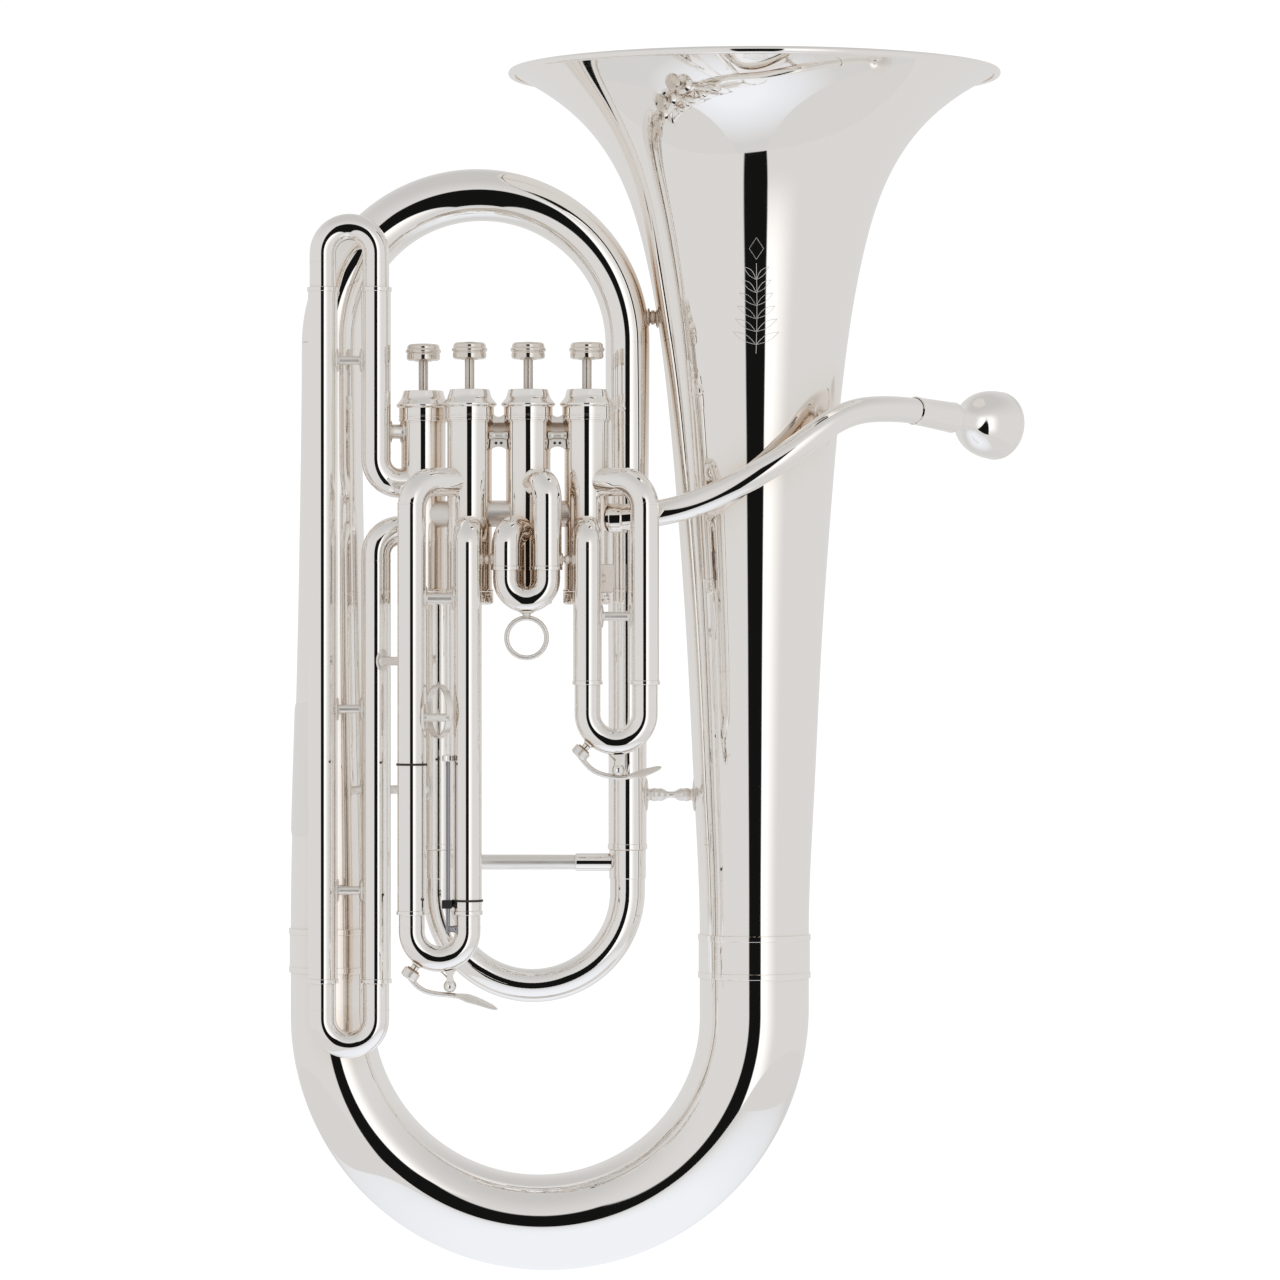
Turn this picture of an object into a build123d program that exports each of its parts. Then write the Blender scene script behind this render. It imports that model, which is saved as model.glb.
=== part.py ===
from build123d import *
import os
from math import cos, radians, sin

# A four-valve euphonium (tenor tuba) with an upright bell, in millimetres.
# +X runs from the small branch towards the bell, +Y away from the valves, +Z up the bell.
# The origin is the lowest point of the bottom bow, midway between its two legs.
# The main tubing lies in the plane Y = 0; the valve block and its slides stand in front of it.

# Bell and its joint to the bottom bow
BELL_X = 120.0
BELL_OUTLINE = ((31.0, 191.5), (33.9, 267), (38.1, 352), (44.0, 437), (52.5, 522.5), (62.6, 579.5),
                (77.0, 622), (96.6, 650.5), (117.5, 668), (137.5, 679.3))
BELL_EDGE_WAY = (20.0, 9.5)
BELL_WALL = 0.8
RIM_BEAD_RADIUS = 2.2
RIM_LAND_DEPTH = 0.3
JOINT_Z = 178.0
STEM_RADIUS = 31.0

# Bottom bow, main branch and top bow
BOW_Z = 147.1
BOW_BEND = 120.0
BOW_RADII = (31.0, 29.1, 27.1, 25.2, 23.2)
BOW_WALL = 1.0
BRANCH_RADIUS = 23.2
BRANCH_JOINT_Z = 182.0
BRANCH_OUTLINE = ((23.2, 194.5), (20.3, 320), (17.9, 437), (17.0, 526.5))
TOP_BOW_X = -36.0
TOP_BOW_Z = 526.5
TOP_BOW_BEND = 84.0
TOP_BOW_RADII = (17.0, 15.9, 14.8, 13.7, 12.5)
TUBE_WALL = 0.8
FERRULE_WALL = 1.0
FERRULE_BEAD = 1.1
BEAD_INSET = 1.2
BELL_FERRULE = (166.2, 190.8)
BRANCH_FERRULE = (169.3, 194.3)

# Main tuning slide
TUNING_RIGHT_X = 48.0
TUNING_LEFT_X = -59.4
TUNING_BOW_Z = 215.3
TUNING_JOINT_Z = 222.7
TUNING_MOUTH_Z = 239.0
TUNING_RIGHT_RADIUS = 10.8
TUNING_LEFT_RADIUS = 9.8
TUNING_TOP_RADIUS = 12.5
TUNING_BRACE_Z = 231.7
TUNING_BRACE_RADII = (4.3, 5.1)
TUNING_SLEEVE_X = 18.5
TUNING_ELBOW_BEND = 13.5
TUNING_TAPER_END_Z = 324.0
TUNING_TAPER_MIDDLE = (11.6, 420.0)

# Valve block: three valves in line and the fourth set back behind them
VALVE_PITCH = 32.8
VALVE_Y = -47.0
FIRST_VALVE_X = 25.3
FOURTH_VALVE = (-66.9, -27.8)
VALVES = tuple((FIRST_VALVE_X - i * VALVE_PITCH, VALVE_Y) for i in range(3)) + (FOURTH_VALVE,)
CASING_RADIUS = 12.5
CASING_WALL = 0.8
CASING_LOW_Z = 380.5
CASING_TOP_Z = 487.0
CASING_BAND_Z = 482.0
CASING_BAND_HALF = 2.0
CASING_BAND_PROUD = 0.5
CASING_PLATE_Z = (466.0, 481.0)
CASING_PLATE_DEPTH = 7.0
CASING_STAY_Z = 475.0
CASING_STAY_RADIUS = 4.5
HIGH_PORT_Z = 446.0
PASSAGE_Z = 428.5
LOW_PORT_Z = 419.3
LEADPIPE_PORT_Z = 425.6
PORT_BORE = 6.6
PASSAGE_RADIUS = 7.4
CAP_RIM_RADIUS = 15.2
CAP_TOP_RADIUS = 11.4
CAP_TOP_Z = 498.4
CAP_SKIRT_LOW_Z = 484.0
CAP_SKIRT_RADII = (13.1, 13.3, 14.0)
CAP_RIM_Z = (489.6, 491.0)
CAP_NECK_Z = 495.2
CAP_BORE = 9.4
CAP_ROOF_Z = 496.4
BOTTOM_CAP_RADIUS = 13.5
BOTTOM_CAP_LOW_Z = 377.4
BOTTOM_CAP_OVERLAP = 6.0
BOTTOM_CAP_VENT = 1.5

# Pistons
PISTON_CLEARANCE = 0.05
PISTON_LOW_Z = 400.0
PISTON_TOP_Z = 478.0
PISTON_WALL = 0.9
PISTON_END = 2.0
PISTON_HUB_RADIUS = 6.0
STROKE = 15.5
STEM_ROD_RADIUS = 2.7
STEM_HOLE_RADIUS = 3.1
BUTTON_RADIUS = 10.0
BUTTON_LOW_Z = 514.6
BUTTON_TOP_Z = 524.9
BUTTON_SOCKET = 4.0
BUTTON_GROOVE = 0.9
SPRING_RADIUS = 8.2
SPRING_WIRE = 0.7
SPRING_TURNS = 5
SPRING_LOW_Z = 379.7
SPRING_TOP_Z = 399.1

# Valve slides in front of the valves
FRONT_Y = -70.0
OUTER_RADIUS = 8.0
INNER_RADIUS = 7.2
SLIDE_WALL = 0.6
SLIDE_CLEARANCE = 0.1
RING_RADIUS = 8.8
RING_LENGTH = 2.2
RING_PROUD = 0.9
TUNING_RING_LENGTH = 3.3
ENGAGED = {"first": 68.0, "second": 12.0, "third": 90.0, "fourth": 75.0, "tuning": 75.0}
FIRST_LEGS = (25.9, 57.7)
FIRST_MOUTH_Z = 333.0
FIRST_JOINT_Z = 319.0
FIRST_BOW_Z = 317.0
SECOND_LEGS = (-19.4, 3.5)
SECOND_MOUTH_Z = 396.7
SECOND_JOINT_Z = 392.6
SECOND_BOW_Z = 391.6
THIRD_LEGS = (-71.8, -40.8)
THIRD_MOUTH_Z = 205.0
THIRD_JOINT_Z = 198.0
THIRD_BOW_Z = 196.0
ELBOW_BEND = 15.0
DOME_BEND = 10.3

# Fourth-valve tubing beside the main branch
FOURTH_Y = -35.0
FOURTH_LEGS = (-123.2, -93.2)
FOURTH_RADIUS = 8.3
FOURTH_INNER_RADIUS = 7.4
FOURTH_RING_RADIUS = 9.3
FOURTH_TOP_MOUTH_Z = 556.0
FOURTH_TOP_BOW_Z = 575.0
FOURTH_LOW_MOUTH_Z = 165.0
FOURTH_LOW_BOW_Z = 145.0
FOURTH_BEND = 13.5

# Leadpipe, mouthpiece receiver and mouthpiece
LEADPIPE_RADIUS = 7.3
LEADPIPE_WALL = 0.7
LEADPIPE_ROUTE = ((30, VALVE_Y, LEADPIPE_PORT_Z), (75, -47.5, 428), (128, -59, 453),
                  (171, -45, 487.5), (205, -14, 488.5))
LEADPIPE_BENDS = (105, 100, 40, 50)
MOUTH_TURN = 48.0
MOUTH_DIP = 5.0
RECEIVER_GAP = 8.0
RECEIVER_LENGTH = 36.0
RECEIVER_SOCKET = 10.0
RECEIVER_RADII = (7.9, 8.6)
SHANK_RADII = (5.6, 6.5)
SHANK_LENGTH = 24.0
SHANK_CLEARANCE = 0.1
MOUTHPIECE_OUTLINE = ((6.8, 8), (8.6, 12), (13.4, 17), (17.6, 24), (19.4, 33), (19.7, 39))
MOUTHPIECE_RIM_Z = 42.0
CUP_RADIUS = 12.8
THROAT_RADIUS = 3.3
THROAT_Z = 13.0

# Braces, finger rings, stop rod and water keys
BAR_RADIUS = 2.75
PULL_RING = (12.5, 1.4)
PULL_RING_Z = 359.0
PULL_RING_POST = 2.6
THUMB_RING = (15.0, 1.6)
THUMB_RING_CENTRE = (-56.9, -65.0, 318.1)
THUMB_RING_TURN = 117.0
THUMB_BAR_Z = 314.8
THUMB_BAR_RADIUS = 2.4
THUMB_FOOT_RADIUS = 4.6
ROD_X = -51.6
ROD_Y = -73.5
ROD_RADIUS = 1.2
ROD_GUIDE_Z = 210.3
ROD_GUIDE_HALF = 2.5
ROD_GUIDE_RADIUS = 2.6
ROD_TOP_Z = 294.0
ROD_NUT = (3.0, 4.0)
ROD_CLEARANCE = 0.3
ROD_FOOT_Z = 197.0
BUMPER_PROUD = 0.7
BUMPER_WIDTH = 1.2
BUMPER_LEFT_Z = 288.0
BUMPER_RIGHT_Z = 212.3
FIRST_KEY_PIVOT = (43.1, 285.5)
FIRST_NIPPLE_ANGLE = 228.0
FIRST_KEY_TOUCH = (65.5, 286.9)
THIRD_KEY_PIVOT = (-50.5, 165.5)
THIRD_NIPPLE_ANGLE = 236.0
THIRD_KEY_TOUCH = (-27.0, 154.0)
NIPPLE_RADIUS = 2.2
NIPPLE_LENGTH = 3.4
CORK_RADIUS = 4.3
CORK_LENGTH = 2.6
KEY_PIN_RADIUS = 1.3
KEY_CLEARANCE = 0.05
KEY_BARREL_WALL = 1.1
KEY_BARREL_HALF = 3.2
KEY_LEVER_RADIUS = 1.3
KEY_TOUCH = (4.6, 1.6)
KEY_TOUCH_TILT = 8.0
CHEEK = (5.2, 1.2)
CHEEK_Y = 4.0
FOURTH_BRACE_Z = (217.0, 319.0, 515.0)
THIRD_BRACE_Z = 381.0
FIRST_BRACE_Z = 371.0
LINK_BRACE_Z = 402.6
SIDE_BRACE_Z = 346.0
LOW_BRACE_Z = 273.0
BELL_BRACE_Z = 270.0
TOP_BRACE_Z = 541.0
LEADPIPE_BRACE = ((169.7, -42.8, 484.6), (150, -27, 484.6))

UP = (0, 0, 1)


def save(piece, name):
    piece.part.label = name
    export_step(piece.part, f"parts/{name}.step")


def disc(x, y, z, radius, bore=0.0):
    """Flat round or annular section at a height."""
    with BuildSketch(Plane.XY.offset(z)) as section:
        with Locations((x, y)):
            Circle(radius)
            if bore:
                Circle(bore, mode=Mode.SUBTRACT)
    return section.sketch


def facing(origin, way, radius, bore=0.0):
    """Round or annular section at a point, square to a direction."""
    with BuildSketch(Plane(origin=origin, z_dir=way)) as section:
        Circle(radius)
        if bore:
            Circle(bore, mode=Mode.SUBTRACT)
    return section.sketch


def rod(start, end, radius, mode=Mode.ADD):
    """Straight round bar between two points."""
    start, end = Vector(start), Vector(end)
    extrude(facing(start, end - start, radius), amount=(end - start).length, mode=mode)


def tube(points, bends, radius, wall):
    """Hollow round tube along straight runs joined by tangent bends."""
    with BuildLine() as route:
        if bends:
            FilletPolyline(*points, radius=bends)
        else:
            Line(*points)
    for size, mode in ((radius, Mode.ADD), (radius - wall, Mode.SUBTRACT)):
        sweep(sections=facing(route.line @ 0, route.line % 0, size), path=route.line, mode=mode)


def post(x, y, low, high, radius, mode=Mode.ADD):
    """Upright solid cylinder."""
    extrude(disc(x, y, low, radius), amount=high - low, mode=mode)


def pipe(x, y, low, high, radius, wall):
    """Upright hollow tube."""
    extrude(disc(x, y, low, radius, radius - wall), amount=high - low)


def bow(x_left, x_right, y, z, radius, wall, up=False):
    """Half-circle return bend between two upright tubes."""
    turn = (0, 1, 0) if up else (0, -1, 0)
    section = disc(x_left, y, z, radius, radius - wall)
    revolve(section, axis=Axis(((x_left + x_right) / 2, y, z), turn), revolution_arc=180)


def tapered_bow(x, z, bend, start, turn, radii, wall):
    """Bend in the plane Y = 0 whose radius runs evenly through radii."""
    with BuildLine(Plane.XZ) as route:
        CenterArc((x, z), bend, start, turn)
    for inset, mode in ((0, Mode.ADD), (wall, Mode.SUBTRACT)):
        sections = []
        for i, radius in enumerate(radii):
            along = i / (len(radii) - 1)
            here = Plane(origin=route.line @ along, x_dir=(0, 1, 0), z_dir=route.line % along)
            with BuildSketch(here) as section:
                Circle(radius - inset)
            sections.append(section.sketch)
        sweep(sections=sections, path=route.line, multisection=True, mode=mode)


def turned_shell(x, y, outline, wall, end_way=(0, 1)):
    """Thin wall of revolution about an upright axis, from an outline of (radius, height) points."""
    with BuildSketch(Plane.XZ.offset(-y)) as section:
        with BuildLine():
            outer = Spline(*[(x + r, z) for r, z in outline], tangents=((0, 1), end_way))
            steps = 2 * len(outline)
            inner_points = []
            for i in range(steps + 1):
                along, spot = outer % (i / steps), outer @ (i / steps)
                inner_points.append((spot.X - along.Y * wall, spot.Y + along.X * wall))
            inner = Spline(*inner_points)
            Line(outer @ 0, inner @ 0)
            Line(outer @ 1, inner @ 1)
        make_face()
    revolve(section.sketch, axis=Axis((x, y, 0), UP))


def ring(x, y, low, high, inside, outside, beads=()):
    """Upright sleeve with a rounded bead at each height in beads."""
    with BuildSketch(Plane.XZ.offset(-y)) as section:
        with Locations(((x + inside + x + outside) / 2, (low + high) / 2)):
            Rectangle(outside - inside, high - low)
        for z in beads:
            with Locations((x + outside, z)):
                Circle(FERRULE_BEAD)
        if beads:
            with Locations((x + inside - FERRULE_BEAD, (low + high) / 2)):
                Rectangle(2 * FERRULE_BEAD, high - low + 2 * FERRULE_BEAD, mode=Mode.SUBTRACT)
    revolve(section.sketch, axis=Axis((x, y, 0), UP))


def strut(start, end, radius, foot, length):
    """Round bar with a wide round foot at each end."""
    start, end = Vector(start), Vector(end)
    way = (end - start).normalized()
    rod(start, end, radius)
    rod(start, start + way * length, foot)
    rod(end, end - way * length, foot)


def side_disc(x, y, z, radius, half_width, mode=Mode.ADD):
    """Round disc lying across Y, centred on a point."""
    rod((x, y - half_width, z), (x, y + half_width, z), radius, mode)


def bell():
    with BuildPart() as piece:
        turned_shell(BELL_X, 0, BELL_OUTLINE, BELL_WALL, BELL_EDGE_WAY)
        pipe(BELL_X, 0, JOINT_Z, BELL_OUTLINE[0][1], STEM_RADIUS, BELL_WALL)
        edge_radius, edge_z = BELL_OUTLINE[-1]
        with BuildSketch(Plane.XZ):
            with Locations((BELL_X + edge_radius, edge_z)):
                Circle(RIM_BEAD_RADIUS)
        revolve(axis=Axis((BELL_X, 0, 0), UP))
        top = edge_z + RIM_BEAD_RADIUS
        post(BELL_X, 0, top - RIM_LAND_DEPTH, top + 1, edge_radius + 2 * RIM_BEAD_RADIUS, Mode.SUBTRACT)
    save(piece, "bell")


def main_ferrules():
    with BuildPart() as bell_ring:
        low, high = BELL_FERRULE
        ring(BELL_X, 0, low, high, STEM_RADIUS, STEM_RADIUS + FERRULE_WALL,
             (low + BEAD_INSET, high - BEAD_INSET))
    save(bell_ring, "bell_ferrule")
    with BuildPart() as branch_ring:
        low, high = BRANCH_FERRULE
        ring(-BOW_BEND, 0, low, high, BRANCH_RADIUS, BRANCH_RADIUS + FERRULE_WALL,
             (low + BEAD_INSET, high - BEAD_INSET))
    save(branch_ring, "branch_ferrule")


def bottom_bow():
    with BuildPart() as piece:
        tapered_bow(0, BOW_Z, BOW_BEND, 0, -180, BOW_RADII, BOW_WALL)
        pipe(BOW_BEND, 0, BOW_Z, JOINT_Z, STEM_RADIUS, BOW_WALL)
        pipe(-BOW_BEND, 0, BOW_Z, BRANCH_JOINT_Z, BRANCH_RADIUS, BOW_WALL)
    save(piece, "bottom_bow")


def main_branch():
    with BuildPart() as piece:
        turned_shell(-BOW_BEND, 0, BRANCH_OUTLINE, TUBE_WALL)
        pipe(-BOW_BEND, 0, BRANCH_JOINT_Z, BRANCH_OUTLINE[0][1], BRANCH_RADIUS, TUBE_WALL)
    save(piece, "main_branch")
    with BuildPart() as arch:
        tapered_bow(TOP_BOW_X, TOP_BOW_Z, TOP_BOW_BEND, 180, -180, TOP_BOW_RADII, TUBE_WALL)
    save(arch, "top_bow")


def tuning_outer_tubes():
    taper = ((TUNING_RIGHT_RADIUS, TUNING_TAPER_END_Z), TUNING_TAPER_MIDDLE, (TUNING_TOP_RADIUS, TOP_BOW_Z))
    with BuildPart() as right:
        turned_shell(TUNING_RIGHT_X, 0, taper, TUBE_WALL)
        pipe(TUNING_RIGHT_X, 0, TUNING_MOUTH_Z, TUNING_TAPER_END_Z, TUNING_RIGHT_RADIUS, TUBE_WALL)
    save(right, "descending_tube")
    with BuildPart() as left:
        tube(((TUNING_LEFT_X, 0, TUNING_MOUTH_Z), (TUNING_LEFT_X, 0, PASSAGE_Z), (*FOURTH_VALVE, PASSAGE_Z)),
             TUNING_ELBOW_BEND, TUNING_LEFT_RADIUS, TUBE_WALL)
        post(*FOURTH_VALVE, CASING_LOW_Z, CASING_TOP_Z, CASING_RADIUS, Mode.SUBTRACT)
    save(left, "outlet_tube")


def port_directions(number):
    """Points that a valve's four ports face, each at its port's height."""
    x, y = VALVES[number]
    if number == 0:
        ports = [(FIRST_LEGS[1], FRONT_Y, HIGH_PORT_Z), (FIRST_LEGS[0], FRONT_Y, LOW_PORT_Z),
                 (x + 50, y, LEADPIPE_PORT_Z), (*VALVES[1], PASSAGE_Z)]
    elif number == 1:
        ports = [(SECOND_LEGS[1], FRONT_Y, HIGH_PORT_Z), (SECOND_LEGS[0], FRONT_Y, LOW_PORT_Z),
                 (*VALVES[0], PASSAGE_Z), (*VALVES[2], PASSAGE_Z)]
    elif number == 2:
        ports = [(THIRD_LEGS[0], FRONT_Y, HIGH_PORT_Z), (THIRD_LEGS[1], FRONT_Y, LOW_PORT_Z),
                 (*VALVES[1], PASSAGE_Z), (*VALVES[3], PASSAGE_Z)]
    else:
        ports = [(FOURTH_LEGS[1], FOURTH_Y, HIGH_PORT_Z), (FOURTH_LEGS[1], FOURTH_Y, LOW_PORT_Z),
                 (*VALVES[2], PASSAGE_Z), (TUNING_LEFT_X, 0, PASSAGE_Z)]
    return ports


def valve_casings():
    for number, (x, y) in enumerate(VALVES):
        with BuildPart() as piece:
            pipe(x, y, CASING_LOW_Z, CASING_TOP_Z, CASING_RADIUS, CASING_WALL)
            ring(x, y, CASING_BAND_Z - CASING_BAND_HALF, CASING_BAND_Z + CASING_BAND_HALF, CASING_RADIUS,
                 CASING_RADIUS + CASING_BAND_PROUD)
            for port_x, port_y, z in port_directions(number):
                way = Vector(port_x - x, port_y - y, 0).normalized()
                rod((x, y, z), Vector(x, y, z) + way * 2 * CASING_RADIUS, PORT_BORE, Mode.SUBTRACT)
        save(piece, f"valve_casing_{number + 1}")


def cap_outline(x):
    """Closed outline of a screwed top cap: skirt, thin rim, hollow neck and flat top round the stem hole."""
    skirt_low, skirt_mid, skirt_high = CAP_SKIRT_RADII
    rim_low, rim_high = CAP_RIM_Z
    edge = 0.8
    return [Polyline((x + CASING_RADIUS, CAP_SKIRT_LOW_Z), (x + skirt_low, CAP_SKIRT_LOW_Z),
                     (x + skirt_mid, CASING_TOP_Z - 0.5)),
            Spline((x + skirt_mid, CASING_TOP_Z - 0.5), (x + skirt_high, rim_low - 1.2),
                   (x + CAP_RIM_RADIUS, rim_low)),
            Line((x + CAP_RIM_RADIUS, rim_low), (x + CAP_RIM_RADIUS, rim_high)),
            Spline((x + CAP_RIM_RADIUS, rim_high), (x + 12.9, rim_high + 1.8),
                   (x + CAP_TOP_RADIUS, CAP_NECK_Z)),
            Polyline((x + CAP_TOP_RADIUS, CAP_NECK_Z), (x + CAP_TOP_RADIUS, CAP_TOP_Z - edge),
                     (x + CAP_TOP_RADIUS - edge, CAP_TOP_Z), (x + STEM_HOLE_RADIUS, CAP_TOP_Z),
                     (x + STEM_HOLE_RADIUS, CAP_ROOF_Z), (x + CAP_BORE, CAP_ROOF_Z),
                     (x + CAP_BORE, CASING_TOP_Z), (x + CASING_RADIUS, CASING_TOP_Z),
                     (x + CASING_RADIUS, CAP_SKIRT_LOW_Z))]


def valve_caps():
    with BuildPart() as tops:
        for x, y in VALVES:
            with BuildSketch(Plane.XZ.offset(-y)) as section:
                with BuildLine():
                    for edge in cap_outline(x):
                        add(edge)
                make_face()
            revolve(section.sketch, axis=Axis((x, y, 0), UP))
    save(tops, "valve_top_caps")
    cap_high = CASING_LOW_Z + BOTTOM_CAP_OVERLAP
    with BuildPart() as bottoms:
        for x, y in VALVES:
            post(x, y, BOTTOM_CAP_LOW_Z, cap_high, BOTTOM_CAP_RADIUS)
            post(x, y, CASING_LOW_Z, cap_high, CASING_RADIUS, Mode.SUBTRACT)
            post(x, y, SPRING_LOW_Z - 0.8, CASING_LOW_Z, CASING_RADIUS - CASING_WALL, Mode.SUBTRACT)
            post(x, y, BOTTOM_CAP_LOW_Z, SPRING_LOW_Z, BOTTOM_CAP_VENT, Mode.SUBTRACT)
    save(bottoms, "valve_bottom_caps")


def valve_passages():
    with BuildPart() as piece:
        for here, there in zip(VALVES, VALVES[1:]):
            tube(((*here, PASSAGE_Z), (*there, PASSAGE_Z)), None, PASSAGE_RADIUS, TUBE_WALL)
        for x, y in VALVES:
            post(x, y, CASING_LOW_Z, CASING_TOP_Z, CASING_RADIUS, Mode.SUBTRACT)
    save(piece, "valve_passages")


def casing_braces():
    """Plates between the three front casings, and the stay from the fourth casing to its upper tube."""
    low, high = CASING_PLATE_Z
    band_low = CASING_BAND_Z - CASING_BAND_HALF
    leg_x = FOURTH_LEGS[1]
    with BuildPart() as piece:
        for (x1, y1), (x2, _) in zip(VALVES[:2], VALVES[1:3]):
            with Locations(((x1 + x2) / 2, y1, (low + high) / 2)):
                Box(VALVE_PITCH - 2 * CASING_RADIUS + 4, CASING_PLATE_DEPTH, high - low)
        rod((leg_x, FOURTH_Y, CASING_STAY_Z), (*FOURTH_VALVE, CASING_STAY_Z), CASING_STAY_RADIUS)
        for x, y in VALVES:
            post(x, y, CASING_LOW_Z, band_low, CASING_RADIUS, Mode.SUBTRACT)
            post(x, y, band_low, CASING_TOP_Z, CASING_RADIUS + CASING_BAND_PROUD, Mode.SUBTRACT)
        post(leg_x, FOURTH_Y, CASING_STAY_Z - 20, CASING_STAY_Z + 20, FOURTH_RADIUS, Mode.SUBTRACT)
    save(piece, "casing_braces")


def pistons():
    radius = CASING_RADIUS - CASING_WALL - PISTON_CLEARANCE
    for number, (x, y) in enumerate(VALVES):
        with BuildPart() as piece:
            post(x, y, PISTON_LOW_Z, PISTON_TOP_Z, radius)
            post(x, y, PISTON_LOW_Z + PISTON_END, PISTON_TOP_Z - PISTON_END, radius - PISTON_WALL,
                 Mode.SUBTRACT)
            crossings = [(Vector(x, y, PASSAGE_Z), Vector(CASING_RADIUS, 0, 0)),
                         (Vector(x, y, PASSAGE_Z + 2 * STROKE), Vector(0, CASING_RADIUS, 0))]
            for middle, way in crossings:
                rod(middle - way, middle + way, PORT_BORE + 0.6)
            post(x, y, PISTON_LOW_Z, PISTON_TOP_Z, radius, Mode.INTERSECT)
            for middle, way in crossings:
                rod(middle - way, middle + way, PORT_BORE, Mode.SUBTRACT)
            post(x, y, PISTON_TOP_Z, BUTTON_LOW_Z + BUTTON_SOCKET, STEM_ROD_RADIUS)
            post(x, y, PISTON_TOP_Z, PISTON_TOP_Z + PISTON_END, PISTON_HUB_RADIUS)
        save(piece, f"piston_{number + 1}")


def finger_buttons():
    for number, (x, y) in enumerate(VALVES):
        with BuildPart() as piece:
            post(x, y, BUTTON_LOW_Z, BUTTON_TOP_Z, BUTTON_RADIUS)
            fillet(piece.edges().group_by(Axis.Z)[-1], 1.6)
            chamfer(piece.edges().group_by(Axis.Z)[0], 1.2)
            with BuildSketch(Plane.XZ.offset(-y)):
                with Locations((x + BUTTON_RADIUS, (BUTTON_LOW_Z + BUTTON_TOP_Z) / 2 - 0.4)):
                    Circle(BUTTON_GROOVE)
            revolve(axis=Axis((x, y, 0), UP), mode=Mode.SUBTRACT)
            post(x, y, BUTTON_LOW_Z - 1, BUTTON_LOW_Z + BUTTON_SOCKET, STEM_ROD_RADIUS, Mode.SUBTRACT)
        save(piece, f"finger_button_{number + 1}")


def valve_springs():
    height = SPRING_TOP_Z - SPRING_LOW_Z - 2 * SPRING_WIRE
    for number, (x, y) in enumerate(VALVES):
        with BuildPart() as piece:
            with BuildLine() as coil:
                Helix(height / SPRING_TURNS, height, SPRING_RADIUS, center=(x, y, SPRING_LOW_Z + SPRING_WIRE))
            sweep(sections=facing(coil.line @ 0, coil.line % 0, SPRING_WIRE), path=coil.line, is_frenet=True)
        save(piece, f"valve_spring_{number + 1}")


def outer_tubes():
    """Outer tubes of the three front slides: one leg bends out of each valve's high port, one out of its low."""
    wall = OUTER_RADIUS - INNER_RADIUS - SLIDE_CLEARANCE
    layout = (("first", FIRST_LEGS[1], ELBOW_BEND, FIRST_LEGS[0], FIRST_MOUTH_Z),
              ("second", SECOND_LEGS[1], DOME_BEND, SECOND_LEGS[0], SECOND_MOUTH_Z),
              ("third", THIRD_LEGS[0], ELBOW_BEND, THIRD_LEGS[1], THIRD_MOUTH_Z))
    for (x, y), (name, high_x, high_bend, low_x, mouth_z) in zip(VALVES, layout):
        with BuildPart() as piece:
            for leg_x, port_z, bend in ((high_x, HIGH_PORT_Z, high_bend), (low_x, LOW_PORT_Z, DOME_BEND)):
                corners = ((x, y, port_z), (leg_x, FRONT_Y, port_z), (leg_x, FRONT_Y, mouth_z))
                tube(corners, bend, OUTER_RADIUS, wall)
            post(x, y, CASING_LOW_Z, CASING_TOP_Z, CASING_RADIUS, Mode.SUBTRACT)
        save(piece, f"{name}_outer_tubes")


def fourth_tubes():
    wall = FOURTH_RADIUS - FOURTH_INNER_RADIUS - SLIDE_CLEARANCE
    left, right = FOURTH_LEGS
    with BuildPart() as long_leg:
        pipe(left, FOURTH_Y, FOURTH_LOW_MOUTH_Z, FOURTH_TOP_MOUTH_Z, FOURTH_RADIUS, wall)
    save(long_leg, "fourth_long_tube")
    for name, port_z, mouth_z in (("fourth_upper_tube", HIGH_PORT_Z, FOURTH_TOP_MOUTH_Z),
                                  ("fourth_lower_tube", LOW_PORT_Z, FOURTH_LOW_MOUTH_Z)):
        with BuildPart() as leg:
            tube(((*FOURTH_VALVE, port_z), (right, FOURTH_Y, port_z), (right, FOURTH_Y, mouth_z)),
                 FOURTH_BEND, FOURTH_RADIUS, wall)
            post(*FOURTH_VALVE, CASING_LOW_Z, CASING_TOP_Z, CASING_RADIUS, Mode.SUBTRACT)
        save(leg, name)


def slide_rings():
    """Thickened rings that close the mouth of every outer slide tube."""
    top = FOURTH_TOP_MOUTH_Z
    front = ((FIRST_LEGS, FIRST_MOUTH_Z), (SECOND_LEGS, SECOND_MOUTH_Z), (THIRD_LEGS, THIRD_MOUTH_Z))
    with BuildPart() as piece:
        for legs, mouth in front:
            for x in legs:
                ring(x, FRONT_Y, mouth, mouth + RING_LENGTH, OUTER_RADIUS, RING_RADIUS)
        for x in FOURTH_LEGS:
            for low in (top - RING_LENGTH, FOURTH_LOW_MOUTH_Z):
                ring(x, FOURTH_Y, low, low + RING_LENGTH, FOURTH_RADIUS, FOURTH_RING_RADIUS)
        for x, radius in ((TUNING_RIGHT_X, TUNING_RIGHT_RADIUS), (TUNING_LEFT_X, TUNING_LEFT_RADIUS)):
            ring(x, 0, TUNING_MOUTH_Z, TUNING_MOUTH_Z + TUNING_RING_LENGTH, radius, radius + RING_PROUD)
    save(piece, "slide_rings")


def inner_tubes(name, legs, mouth_z, joint_z):
    """Inner slide tubes of one of the three front slides, up inside its outer tubes."""
    with BuildPart() as tubes:
        for x in legs:
            pipe(x, FRONT_Y, joint_z, mouth_z + ENGAGED[name], INNER_RADIUS, SLIDE_WALL)
    save(tubes, f"{name}_slide_tubes")


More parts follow.
